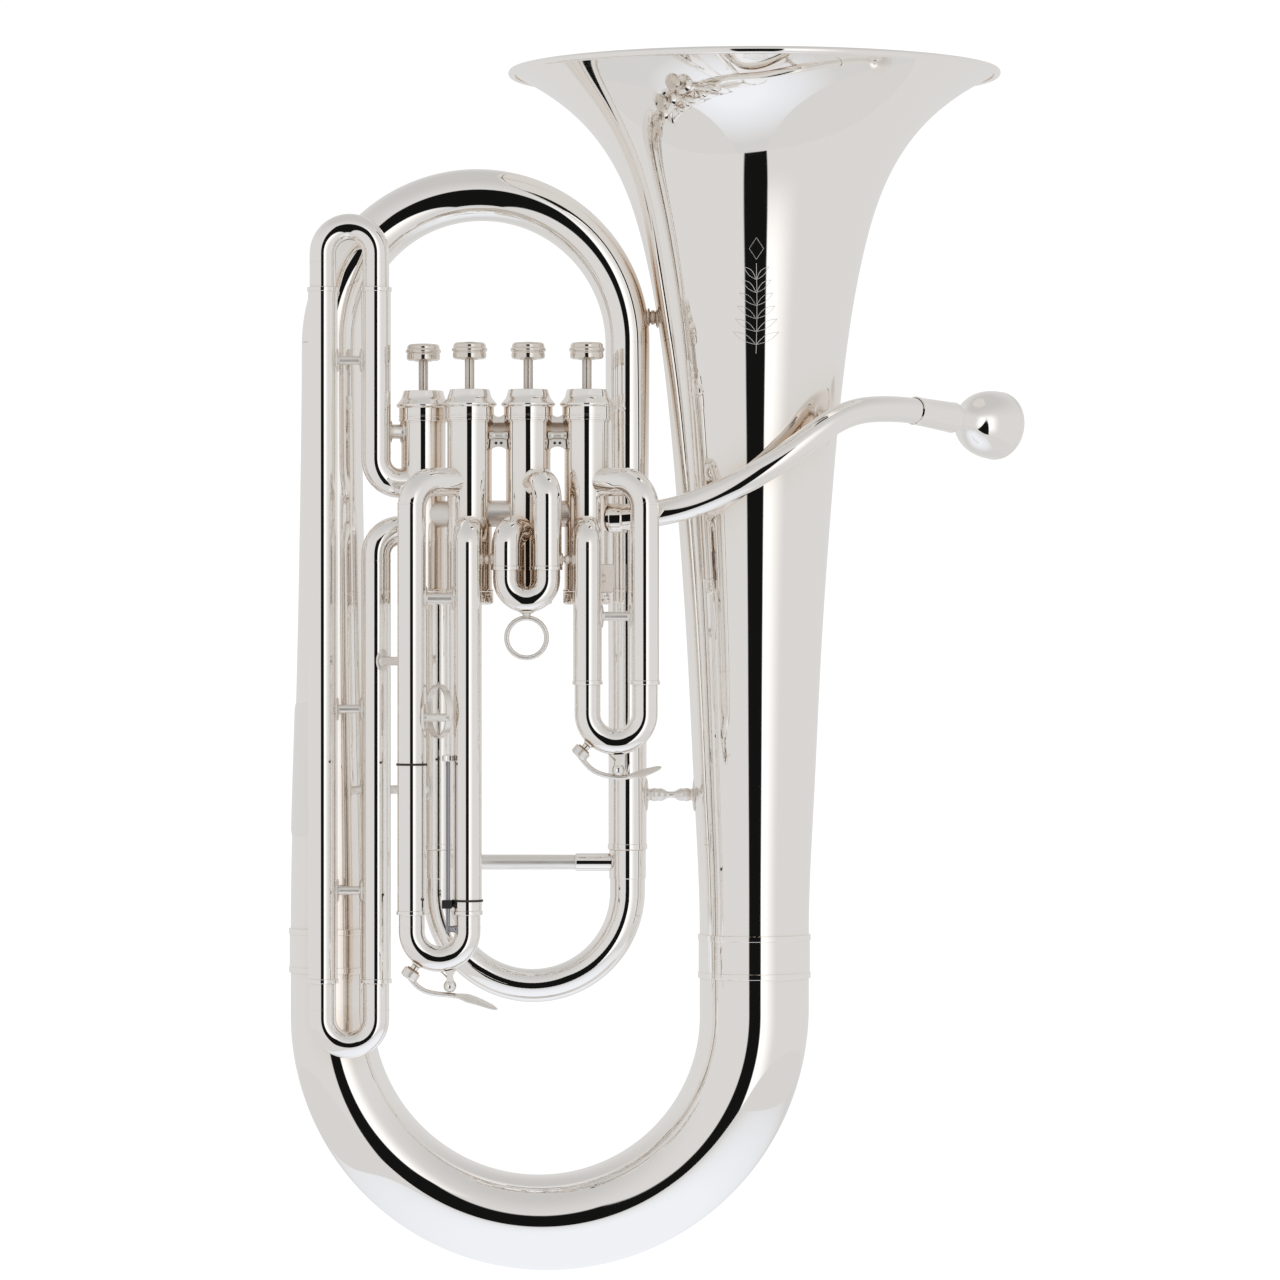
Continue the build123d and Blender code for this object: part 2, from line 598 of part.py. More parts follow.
def first_slide():
    inner_tubes("first", FIRST_LEGS, FIRST_MOUTH_Z, FIRST_JOINT_Z)
    centre_x = sum(FIRST_LEGS) / 2
    with BuildPart() as piece:
        slide_bow(FIRST_LEGS, FIRST_JOINT_Z, FIRST_BOW_Z)
        nipple(centre_x, FIRST_BOW_Z, FIRST_LEGS, FIRST_NIPPLE_ANGLE)
        saddle(FIRST_KEY_PIVOT, centre_x, FIRST_BOW_Z, FIRST_LEGS)
    save(piece, "first_slide_bow")


def slide_bow(legs, joint_z, bow_z):
    bow(*legs, FRONT_Y, bow_z, INNER_RADIUS, SLIDE_WALL)
    for x in legs:
        pipe(x, FRONT_Y, bow_z, joint_z, INNER_RADIUS, SLIDE_WALL)


def nipple(centre_x, bow_z, legs, angle):
    """Short drain nipple standing out of the underside of a bow."""
    reach = (legs[1] - legs[0]) / 2 + INNER_RADIUS - 0.3
    way = (cos(radians(angle)), 0, sin(radians(angle)))
    start = Vector(centre_x + reach * way[0], FRONT_Y, bow_z + reach * way[2])
    rod(start, start + Vector(way) * NIPPLE_LENGTH, NIPPLE_RADIUS)
    rod(start, start + Vector(way) * (NIPPLE_LENGTH + 1), NIPPLE_RADIUS - 0.9, Mode.SUBTRACT)


def saddle(pivot, centre_x, bow_z, legs):
    """Two cheeks under a bow that carry the water key's pin."""
    x, z = pivot
    width, thick = CHEEK
    under = bow_z - (legs[1] - legs[0]) / 2 - INNER_RADIUS
    with Locations(*[(x, FRONT_Y + side * CHEEK_Y, (z + under) / 2 + thick / 2) for side in (-1, 1)]):
        Box(width, thick, under - z + width)
    side_disc(x, FRONT_Y, z, KEY_PIN_RADIUS, CHEEK_Y)


def second_slide():
    inner_tubes("second", SECOND_LEGS, SECOND_MOUTH_Z, SECOND_JOINT_Z)
    with BuildPart() as piece:
        slide_bow(SECOND_LEGS, SECOND_JOINT_Z, SECOND_BOW_Z)
    save(piece, "second_slide_bow")
    centre_x = sum(SECOND_LEGS) / 2
    ring_radius, wire = PULL_RING
    bow_bottom = SECOND_BOW_Z - (SECOND_LEGS[1] - SECOND_LEGS[0]) / 2 - INNER_RADIUS
    with BuildPart() as pull:
        section = facing((centre_x, FRONT_Y, PULL_RING_Z + ring_radius - wire), (1, 0, 0), wire)
        revolve(section, axis=Axis((centre_x, FRONT_Y, PULL_RING_Z), (0, 1, 0)))
        post(centre_x, FRONT_Y, PULL_RING_Z + ring_radius - wire, bow_bottom + 0.5, PULL_RING_POST)
        section = disc(SECOND_LEGS[0], FRONT_Y, SECOND_BOW_Z, INNER_RADIUS)
        revolve(section, axis=Axis((centre_x, FRONT_Y, SECOND_BOW_Z), (0, -1, 0)), revolution_arc=180,
                mode=Mode.SUBTRACT)
    save(pull, "second_pull_ring")


def third_slide():
    inner_tubes("third", THIRD_LEGS, THIRD_MOUTH_Z, THIRD_JOINT_Z)
    centre_x = sum(THIRD_LEGS) / 2
    with BuildPart() as piece:
        slide_bow(THIRD_LEGS, THIRD_JOINT_Z, THIRD_BOW_Z)
        nipple(centre_x, THIRD_BOW_Z, THIRD_LEGS, THIRD_NIPPLE_ANGLE)
        saddle(THIRD_KEY_PIVOT, centre_x, THIRD_BOW_Z, THIRD_LEGS)
    save(piece, "third_slide_bow")
    nut_radius, nut_length = ROD_NUT
    with BuildPart() as stop:
        post(ROD_X, ROD_Y, THIRD_BOW_Z, ROD_TOP_Z, ROD_RADIUS)
        post(ROD_X, ROD_Y, ROD_TOP_Z - nut_length, ROD_TOP_Z, nut_radius)
        strut((THIRD_LEGS[1], FRONT_Y, ROD_FOOT_Z), (ROD_X, ROD_Y, ROD_FOOT_Z), 1.8, 2.2, 2.0)
        post(THIRD_LEGS[1], FRONT_Y, THIRD_BOW_Z - 5, THIRD_MOUTH_Z, INNER_RADIUS, Mode.SUBTRACT)
    save(stop, "third_stop_rod")


def fourth_slides():
    left, right = FOURTH_LEGS
    radius, engaged = FOURTH_INNER_RADIUS, ENGAGED["fourth"]
    with BuildPart() as upper:
        bow(left, right, FOURTH_Y, FOURTH_TOP_BOW_Z, radius, SLIDE_WALL, up=True)
        for x in FOURTH_LEGS:
            pipe(x, FOURTH_Y, FOURTH_TOP_MOUTH_Z - engaged, FOURTH_TOP_BOW_Z, radius, SLIDE_WALL)
    save(upper, "fourth_upper_slide")
    with BuildPart() as lower:
        bow(left, right, FOURTH_Y, FOURTH_LOW_BOW_Z, radius, SLIDE_WALL)
        for x in FOURTH_LEGS:
            pipe(x, FOURTH_Y, FOURTH_LOW_BOW_Z, FOURTH_LOW_MOUTH_Z + engaged, radius, SLIDE_WALL)
    save(lower, "fourth_lower_slide")


def tuning_slide():
    right_radius = TUNING_RIGHT_RADIUS - TUBE_WALL - SLIDE_CLEARANCE
    left_radius = TUNING_LEFT_RADIUS - TUBE_WALL - SLIDE_CLEARANCE
    centre_x = (TUNING_LEFT_X + TUNING_RIGHT_X) / 2
    with BuildPart() as piece:
        tapered_bow(centre_x, TUNING_BOW_Z, TUNING_RIGHT_X - centre_x, 0, -180,
                    (right_radius, (right_radius + left_radius) / 2, left_radius), SLIDE_WALL)
        pipe(TUNING_RIGHT_X, 0, TUNING_BOW_Z, TUNING_JOINT_Z, right_radius, SLIDE_WALL)
        pipe(TUNING_LEFT_X, 0, TUNING_BOW_Z, TUNING_JOINT_Z, left_radius, SLIDE_WALL)
    save(piece, "tuning_bow")
    sides = ((TUNING_RIGHT_X, right_radius), (TUNING_LEFT_X, left_radius))
    with BuildPart() as tubes:
        for x, radius in sides:
            pipe(x, 0, TUNING_JOINT_Z, TUNING_MOUTH_Z + ENGAGED["tuning"], radius, SLIDE_WALL)
    save(tubes, "tuning_slide_tubes")
    with BuildPart() as brace:
        for start_x, radius in zip((TUNING_LEFT_X, TUNING_SLEEVE_X), TUNING_BRACE_RADII):
            rod((start_x, 0, TUNING_BRACE_Z), (TUNING_RIGHT_X, 0, TUNING_BRACE_Z), radius)
        for x, radius in sides:
            post(x, 0, TUNING_JOINT_Z - 5, TUNING_MOUTH_Z + 8, radius, Mode.SUBTRACT)
    save(brace, "tuning_brace")


def mouth_plane():
    """Plane at the receiver's rear end, looking out along the mouthpiece's axis."""
    dip, turn = radians(MOUTH_DIP), radians(MOUTH_TURN)
    way = Vector(cos(turn) * cos(dip), sin(turn) * cos(dip), -sin(dip))
    return Plane(origin=Vector(*LEADPIPE_ROUTE[-1]) + way * RECEIVER_GAP, z_dir=way)


def turned_on(plane, outline):
    """Solid of revolution about a plane's normal, from its (radius, distance) outline."""
    side = Plane(origin=plane.origin, x_dir=plane.x_dir, z_dir=plane.y_dir * -1)
    with BuildSketch(side) as section:
        with BuildLine():
            for piece in outline():
                add(piece)
        make_face()
    revolve(section.sketch, axis=Axis(plane.origin, plane.z_dir))


def leadpipe():
    plane = mouth_plane()
    end = plane.origin + plane.z_dir * RECEIVER_SOCKET
    with BuildPart() as piece:
        tube((*LEADPIPE_ROUTE, tuple(end)), LEADPIPE_BENDS, LEADPIPE_RADIUS, LEADPIPE_WALL)
        post(*VALVES[0], CASING_LOW_Z, CASING_TOP_Z, CASING_RADIUS, Mode.SUBTRACT)
    save(piece, "leadpipe")


def receiver_outline():
    near, far = RECEIVER_RADII
    shank_end = RECEIVER_LENGTH - SHANK_LENGTH - 1
    bore = [radius + SHANK_CLEARANCE for radius in SHANK_RADII]
    return [Polyline((LEADPIPE_RADIUS, 0), (near, 0.6), (far, RECEIVER_LENGTH - 1),
                     (far - 0.6, RECEIVER_LENGTH), (bore[1], RECEIVER_LENGTH), (bore[0], shank_end),
                     (bore[0], RECEIVER_SOCKET), (LEADPIPE_RADIUS, RECEIVER_SOCKET), (LEADPIPE_RADIUS, 0))]


def mouthpiece_outline():
    near, far = SHANK_RADII
    rim_mid = (CUP_RADIUS + MOUTHPIECE_OUTLINE[-1][0]) / 2
    cup = ((rim_mid, MOUTHPIECE_RIM_Z), (CUP_RADIUS, MOUTHPIECE_RIM_Z - 2.5), (9.5, 24),
           (THROAT_RADIUS, THROAT_Z))
    return [Polyline((near, -SHANK_LENGTH), (far, 0), (6.7, 6)),
            Spline((6.7, 6), *MOUTHPIECE_OUTLINE, (rim_mid, MOUTHPIECE_RIM_Z), tangents=((0.05, 1), (-1, 0))),
            Spline(*cup, tangents=((-1, 0), (-0.3, -1))),
            Polyline((THROAT_RADIUS, THROAT_Z), (near - 0.9, -SHANK_LENGTH), (near, -SHANK_LENGTH))]


def receiver_and_mouthpiece():
    plane = mouth_plane()
    with BuildPart() as receiver:
        turned_on(plane, receiver_outline)
    save(receiver, "mouthpiece_receiver")
    with BuildPart() as piece:
        turned_on(plane.offset(RECEIVER_LENGTH), mouthpiece_outline)
    save(piece, "mouthpiece")


def turned_core(x, outline, end_way=(0, 1)):
    """Cuts away everything inside the outer surface of a turned shell."""
    with BuildSketch(Plane.XZ) as section:
        with BuildLine():
            rise = Spline(*[(x + r, z) for r, z in outline], tangents=((0, 1), end_way))
            Polyline(rise @ 1, (x, (rise @ 1).Y), (x, (rise @ 0).Y), rise @ 0)
        make_face()
    revolve(section.sketch, axis=Axis((x, 0, 0), UP), mode=Mode.SUBTRACT)


def bell_braces():
    low_z, high_z = BELL_BRACE_Z, TOP_BRACE_Z
    ball_x = (TUNING_RIGHT_X + TUNING_RIGHT_RADIUS + BELL_X - 34) / 2
    with BuildPart() as piece:
        strut((TUNING_RIGHT_X, 0, low_z), (BELL_X - 25, 0, low_z), 2.2, 5.2, 14)
        with Locations((ball_x, 0, low_z)):
            Sphere(4.2)
        strut((55, 0, high_z), (75, 0, high_z), 3.4, 4.6, 6.5)
        strut(*LEADPIPE_BRACE, 2.6, 5.0, 9)
        turned_core(BELL_X, BELL_OUTLINE, BELL_EDGE_WAY)
        post(TUNING_RIGHT_X, 0, low_z - 20, low_z + 20, TUNING_RIGHT_RADIUS, Mode.SUBTRACT)
        revolve(disc(TOP_BOW_X + TOP_BOW_BEND, 0, TOP_BOW_Z, TUNING_TOP_RADIUS + 0.5),
                axis=Axis((TOP_BOW_X, 0, TOP_BOW_Z), (0, -1, 0)), revolution_arc=30, mode=Mode.SUBTRACT)
        with BuildLine(mode=Mode.PRIVATE) as route:
            FilletPolyline(*LEADPIPE_ROUTE, radius=LEADPIPE_BENDS[:3])
        sweep(sections=facing(route.line @ 0, route.line % 0, LEADPIPE_RADIUS), path=route.line,
              mode=Mode.SUBTRACT)
    save(piece, "bell_braces")


def link(here, there, z, radius, foot, length):
    """Level brace between the axes of two upright tubes."""
    strut((*here, z), (*there, z), radius, foot, length)


def tubing_braces():
    fourth = [(x, FOURTH_Y) for x in FOURTH_LEGS]
    front = [(x, FRONT_Y) for x in (*THIRD_LEGS, *SECOND_LEGS, *FIRST_LEGS)]
    with BuildPart() as piece:
        for z in FOURTH_BRACE_Z:
            link(*fourth, z, BAR_RADIUS, 4.6, FOURTH_RADIUS + 2.6)
        link(*front[:2], THIRD_BRACE_Z, 3.0, 4.6, OUTER_RADIUS + 2)
        link(*front[4:], FIRST_BRACE_Z, BAR_RADIUS, 4.6, OUTER_RADIUS + 2)
        link(*front[1:3], LINK_BRACE_Z, 2.0, 3.5, OUTER_RADIUS + 1.6)
        link(*front[3:5], LINK_BRACE_Z, 2.0, 3.5, OUTER_RADIUS + 1.6)
        link(fourth[1], front[0], SIDE_BRACE_Z, 2.4, 4.6, OUTER_RADIUS + 3)
        link(fourth[1], (TUNING_LEFT_X, 0), LOW_BRACE_Z, 2.4, 4.6, OUTER_RADIUS + 4)
        link(fourth[0], (-BOW_BEND, 0), LOW_BRACE_Z, 2.4, 4.6, 12)
        turned_core(-BOW_BEND, BRANCH_OUTLINE)
        post(TUNING_LEFT_X, 0, LOW_BRACE_Z - 15, LOW_BRACE_Z + 15, TUNING_LEFT_RADIUS, Mode.SUBTRACT)
        for x, y in fourth:
            post(x, y, FOURTH_LOW_MOUTH_Z + 10, FOURTH_TOP_MOUTH_Z - 10, FOURTH_RADIUS, Mode.SUBTRACT)
        for x, y in front:
            post(x, y, SIDE_BRACE_Z - 9, LINK_BRACE_Z + 6, OUTER_RADIUS, Mode.SUBTRACT)
        rod_guide()
    save(piece, "tubing_braces")


def rod_guide():
    """Short sleeve on the third slide's right outer tube that the stop rod runs through."""
    low, high = ROD_GUIDE_Z - ROD_GUIDE_HALF, ROD_GUIDE_Z + ROD_GUIDE_HALF
    post(ROD_X, ROD_Y, low, high, ROD_GUIDE_RADIUS)
    rod((THIRD_LEGS[1], FRONT_Y, ROD_GUIDE_Z), (ROD_X, ROD_Y, ROD_GUIDE_Z), 1.9)
    post(ROD_X, ROD_Y, low - 2, high + 2, ROD_RADIUS + ROD_CLEARANCE, Mode.SUBTRACT)
    post(THIRD_LEGS[1], FRONT_Y, low - 2, high + 2, OUTER_RADIUS, Mode.SUBTRACT)


def thumb_ring():
    """Finger ring beside the third slide's left outer tube, on a bar to its near edge."""
    x, y, z = THUMB_RING_CENTRE
    turn = radians(THUMB_RING_TURN)
    across = Vector(cos(turn), sin(turn), 0)
    radius, wire = THUMB_RING
    leg = Vector(THIRD_LEGS[0], FRONT_Y, THUMB_BAR_Z)
    near_edge = Vector(x, y, THUMB_BAR_Z) - across * (radius - wire)
    with BuildPart() as piece:
        section = facing((x, y, z + radius - wire), across, wire)
        revolve(section, axis=Axis((x, y, z), (-sin(turn), cos(turn), 0)))
        rod(leg, near_edge, THUMB_BAR_RADIUS)
        rod(leg, leg + (near_edge - leg).normalized() * (OUTER_RADIUS + 1.5), THUMB_FOOT_RADIUS)
        post(THIRD_LEGS[0], FRONT_Y, z - 30, z + 30, OUTER_RADIUS, Mode.SUBTRACT)
    save(piece, "thumb_ring")


def bumper_rings():
    """Rubber rings round the third slide's outer tubes, where its rod's nut and the hand come to rest."""
    with BuildPart() as piece:
        for x, z in ((THIRD_LEGS[0], BUMPER_LEFT_Z), (THIRD_LEGS[1], BUMPER_RIGHT_Z)):
            ring(x, FRONT_Y, z, z + BUMPER_WIDTH, OUTER_RADIUS, OUTER_RADIUS + BUMPER_PROUD)
    save(piece, "bumper_rings")


def water_key(name, pivot, legs, bow_z, angle, touch):
    """Lever with a cork cup at one end, a pivot barrel, and a touch plate at the other."""
    reach = (legs[1] - legs[0]) / 2 + INNER_RADIUS - 0.3 + NIPPLE_LENGTH
    way = Vector(cos(radians(angle)), 0, sin(radians(angle)))
    seat = Vector(sum(legs) / 2, FRONT_Y, bow_z) + way * (reach + KEY_CLEARANCE)
    back = seat + way * CORK_LENGTH
    with BuildPart() as cork:
        rod(seat, back, CORK_RADIUS - 0.7)
    save(cork, f"{name}_key_cork")
    pivot_point = Vector(pivot[0], FRONT_Y, pivot[1])
    touch_point = Vector(touch[0], FRONT_Y, touch[1])
    with BuildPart() as piece:
        rod(seat + way, back + way * 0.8, CORK_RADIUS)
        rod(back + way * 0.4, pivot_point, KEY_LEVER_RADIUS)
        rod(pivot_point, touch_point, KEY_LEVER_RADIUS)
        side_disc(*pivot_point, KEY_PIN_RADIUS + KEY_BARREL_WALL, KEY_BARREL_HALF)
        with Locations(Location(touch_point, (0, KEY_TOUCH_TILT, 0))):
            Cylinder(*KEY_TOUCH)
        side_disc(*pivot_point, KEY_PIN_RADIUS + KEY_CLEARANCE, 2 * KEY_BARREL_HALF, Mode.SUBTRACT)
        rod(seat, back, CORK_RADIUS - 0.7, Mode.SUBTRACT)
    save(piece, f"{name}_water_key")


def water_keys():
    water_key("first", FIRST_KEY_PIVOT, FIRST_LEGS, FIRST_BOW_Z, FIRST_NIPPLE_ANGLE, FIRST_KEY_TOUCH)
    water_key("third", THIRD_KEY_PIVOT, THIRD_LEGS, THIRD_BOW_Z, THIRD_NIPPLE_ANGLE, THIRD_KEY_TOUCH)


os.makedirs("parts", exist_ok=True)
bell()
main_ferrules()
bottom_bow()
main_branch()
tuning_outer_tubes()
valve_casings()
valve_caps()
valve_passages()
casing_braces()
pistons()
finger_buttons()
valve_springs()
outer_tubes()
fourth_tubes()
slide_rings()
first_slide()
second_slide()
third_slide()
fourth_slides()
tuning_slide()
leadpipe()
receiver_and_mouthpiece()
bell_braces()
tubing_braces()
thumb_ring()
bumper_rings()
water_keys()
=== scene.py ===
from math import atan2, ceil, cos, pi, radians, sin, sqrt, tan

import bpy
import numpy as np
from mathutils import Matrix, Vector


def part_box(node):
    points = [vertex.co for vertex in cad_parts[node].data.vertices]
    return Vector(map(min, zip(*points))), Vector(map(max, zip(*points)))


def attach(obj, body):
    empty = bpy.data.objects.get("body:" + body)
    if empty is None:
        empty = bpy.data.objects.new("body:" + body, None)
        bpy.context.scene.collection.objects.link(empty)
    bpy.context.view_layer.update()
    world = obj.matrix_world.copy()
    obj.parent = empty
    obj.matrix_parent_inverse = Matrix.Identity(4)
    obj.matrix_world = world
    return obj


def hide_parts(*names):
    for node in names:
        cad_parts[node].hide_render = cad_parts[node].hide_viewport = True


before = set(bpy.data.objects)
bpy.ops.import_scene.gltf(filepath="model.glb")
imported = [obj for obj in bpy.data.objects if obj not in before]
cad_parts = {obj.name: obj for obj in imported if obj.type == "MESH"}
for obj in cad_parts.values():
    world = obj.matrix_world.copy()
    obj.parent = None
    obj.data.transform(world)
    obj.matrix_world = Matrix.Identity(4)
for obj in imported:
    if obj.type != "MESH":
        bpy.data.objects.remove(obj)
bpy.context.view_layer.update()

# All sizes below are in millimetres; MM turns them into Blender's metres.
MM = 0.001
UP = Vector((0, 0, 1))
X_WAY, Y_WAY = Vector((1, 0, 0)), Vector((0, 1, 0))
scene = bpy.context.scene


# ---- reading the frame

def span(node):
    """Lowest and highest corners of a CAD node in millimetres."""
    low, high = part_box(node)
    return low / MM, high / MM


def axis_xy(node):
    """Middle of an upright node, as (x, y)."""
    low, high = span(node)
    return (low.x + high.x) / 2, (low.y + high.y) / 2


def leg_pair(node):
    """Left x, right x, y and radius of a node that is two upright tubes side by side."""
    low, high = span(node)
    radius = (high.y - low.y) / 2
    return low.x + radius, high.x - radius, (low.y + high.y) / 2, radius


# ---- curves and outlines

def smooth_curve(points, per_span, start_way=None, end_way=None):
    """Cubic spline through 2-D points, sampled per_span times in each stretch."""
    p = np.array(points, float)
    steps = np.linalg.norm(np.diff(p, axis=0), axis=1)
    n = len(p)
    a, b = np.zeros((n, n)), np.zeros((n, 2))
    for i in range(1, n - 1):
        a[i, i - 1:i + 2] = 1 / steps[i - 1], 2 / steps[i - 1] + 2 / steps[i], 1 / steps[i]
        b[i] = 3 * ((p[i] - p[i - 1]) / steps[i - 1] ** 2 + (p[i + 1] - p[i]) / steps[i] ** 2)
    for row, way, side in ((0, start_way, 1), (n - 1, end_way, -1)):
        a[row, row] = 1 if way else 2
        if way:
            b[row] = np.array(way, float) / np.linalg.norm(way)
        else:
            a[row, row + side] = 1
            b[row] = 3 * side * (p[row + side] - p[row]) / steps[row if side > 0 else row - 1]
    slopes = np.linalg.solve(a, b)
    curve = []
    for i in range(n - 1):
        h = steps[i]
        for k in range(per_span):
            t = k / per_span
            curve.append((2 * t ** 3 - 3 * t ** 2 + 1) * p[i] + (t ** 3 - 2 * t ** 2 + t) * h * slopes[i]
                         + (3 * t ** 2 - 2 * t ** 3) * p[i + 1] + (t ** 3 - t ** 2) * h * slopes[i + 1])
    curve.append(p[-1])
    return np.array(curve)


def inset(curve, wall):
    """The same 2-D curve moved to its left by wall."""
    way = np.gradient(curve, axis=0)
    way /= np.linalg.norm(way, axis=1)[:, None]
    return curve + wall * np.stack([-way[:, 1], way[:, 0]], axis=1)


def eased(outline, radius, steps=4):
    """Closed outline with its sharp corners rounded off."""
    result = []
    count = len(outline)
    for i in range(count):
        here = Vector(outline[i])
        before = Vector(outline[i - 1]) - here
        after = Vector(outline[(i + 1) % count]) - here
        turn = before.angle(-after, 0)
        if turn < radians(20):
            result.append(tuple(here))
            continue
        reach = min(radius * tan(turn / 2), 0.45 * before.length, 0.45 * after.length)
        first, last = here + before.normalized() * reach, here + after.normalized() * reach
        for k in range(steps + 1):
            t = k / steps
            result.append(tuple((1 - t) ** 2 * first + 2 * t * (1 - t) * here + t ** 2 * last))
    return result


def held(outline, closed, reach=0.3):
    """Outline with extra points beside its corners, which keep flats flat and corners crisp."""
    points = [Vector(point) for point in outline]
    count = len(points)

    def turned(i):
        if not closed and i in (0, count - 1):
            return False
        before, after = points[i] - points[i - 1], points[(i + 1) % count] - points[i]
        return before.length > 0 and after.length > 0 and before.angle(after) > radians(14)

    result = []
    for i in range(count if closed else count - 1):
        start, end = points[i], points[(i + 1) % count]
        result.append(tuple(start))
        length = (end - start).length
        if length > 3 * reach:
            if turned(i):
                result.append(tuple(start.lerp(end, reach / length)))
            if turned((i + 1) % count):
                result.append(tuple(end.lerp(start, reach / length)))
    if not closed:
        result.append(tuple(points[-1]))
    return result


def raised(outline, z):
    """Outline with its heights measured up from z."""
    return [(radius, z + height) for radius, height in outline]


def route(points, bend, turn_step=3.0):
    """Dense 3-D path along straight runs joined by tangent arcs. bend is one radius or one per corner."""
    points = [Vector(p) for p in points]
    bends = [bend] * (len(points) - 2) if isinstance(bend, (int, float)) else list(bend)
    path = [points[0]]
    for here, before, after, radius in zip(points[1:-1], points, points[2:], bends):
        way_in, way_out = (here - before).normalized(), (after - here).normalized()
        turn = way_in.angle(way_out)
        reach = radius * tan(turn / 2)
        start = here - way_in * reach
        normal = (way_out - way_in * way_in.dot(way_out)).normalized()
        centre = start + normal * radius
        count = max(2, ceil(turn / radians(turn_step)))
        for k in range(count + 1):
            angle = turn * k / count
            path.append(centre - normal * radius * cos(angle) + way_in * radius * sin(angle))
    path.append(points[-1])
    return path


def front_way(angle):
    """Direction across the front, in degrees from X towards up."""
    return Vector((cos(radians(angle)), 0, sin(radians(angle))))


def arc(centre, radius, start, end, count):
    """Points of a circular arc in a plane parallel to the front."""
    return [Vector(centre) + radius * front_way(a) for a in np.linspace(start, end, count)]


# ---- mesh building

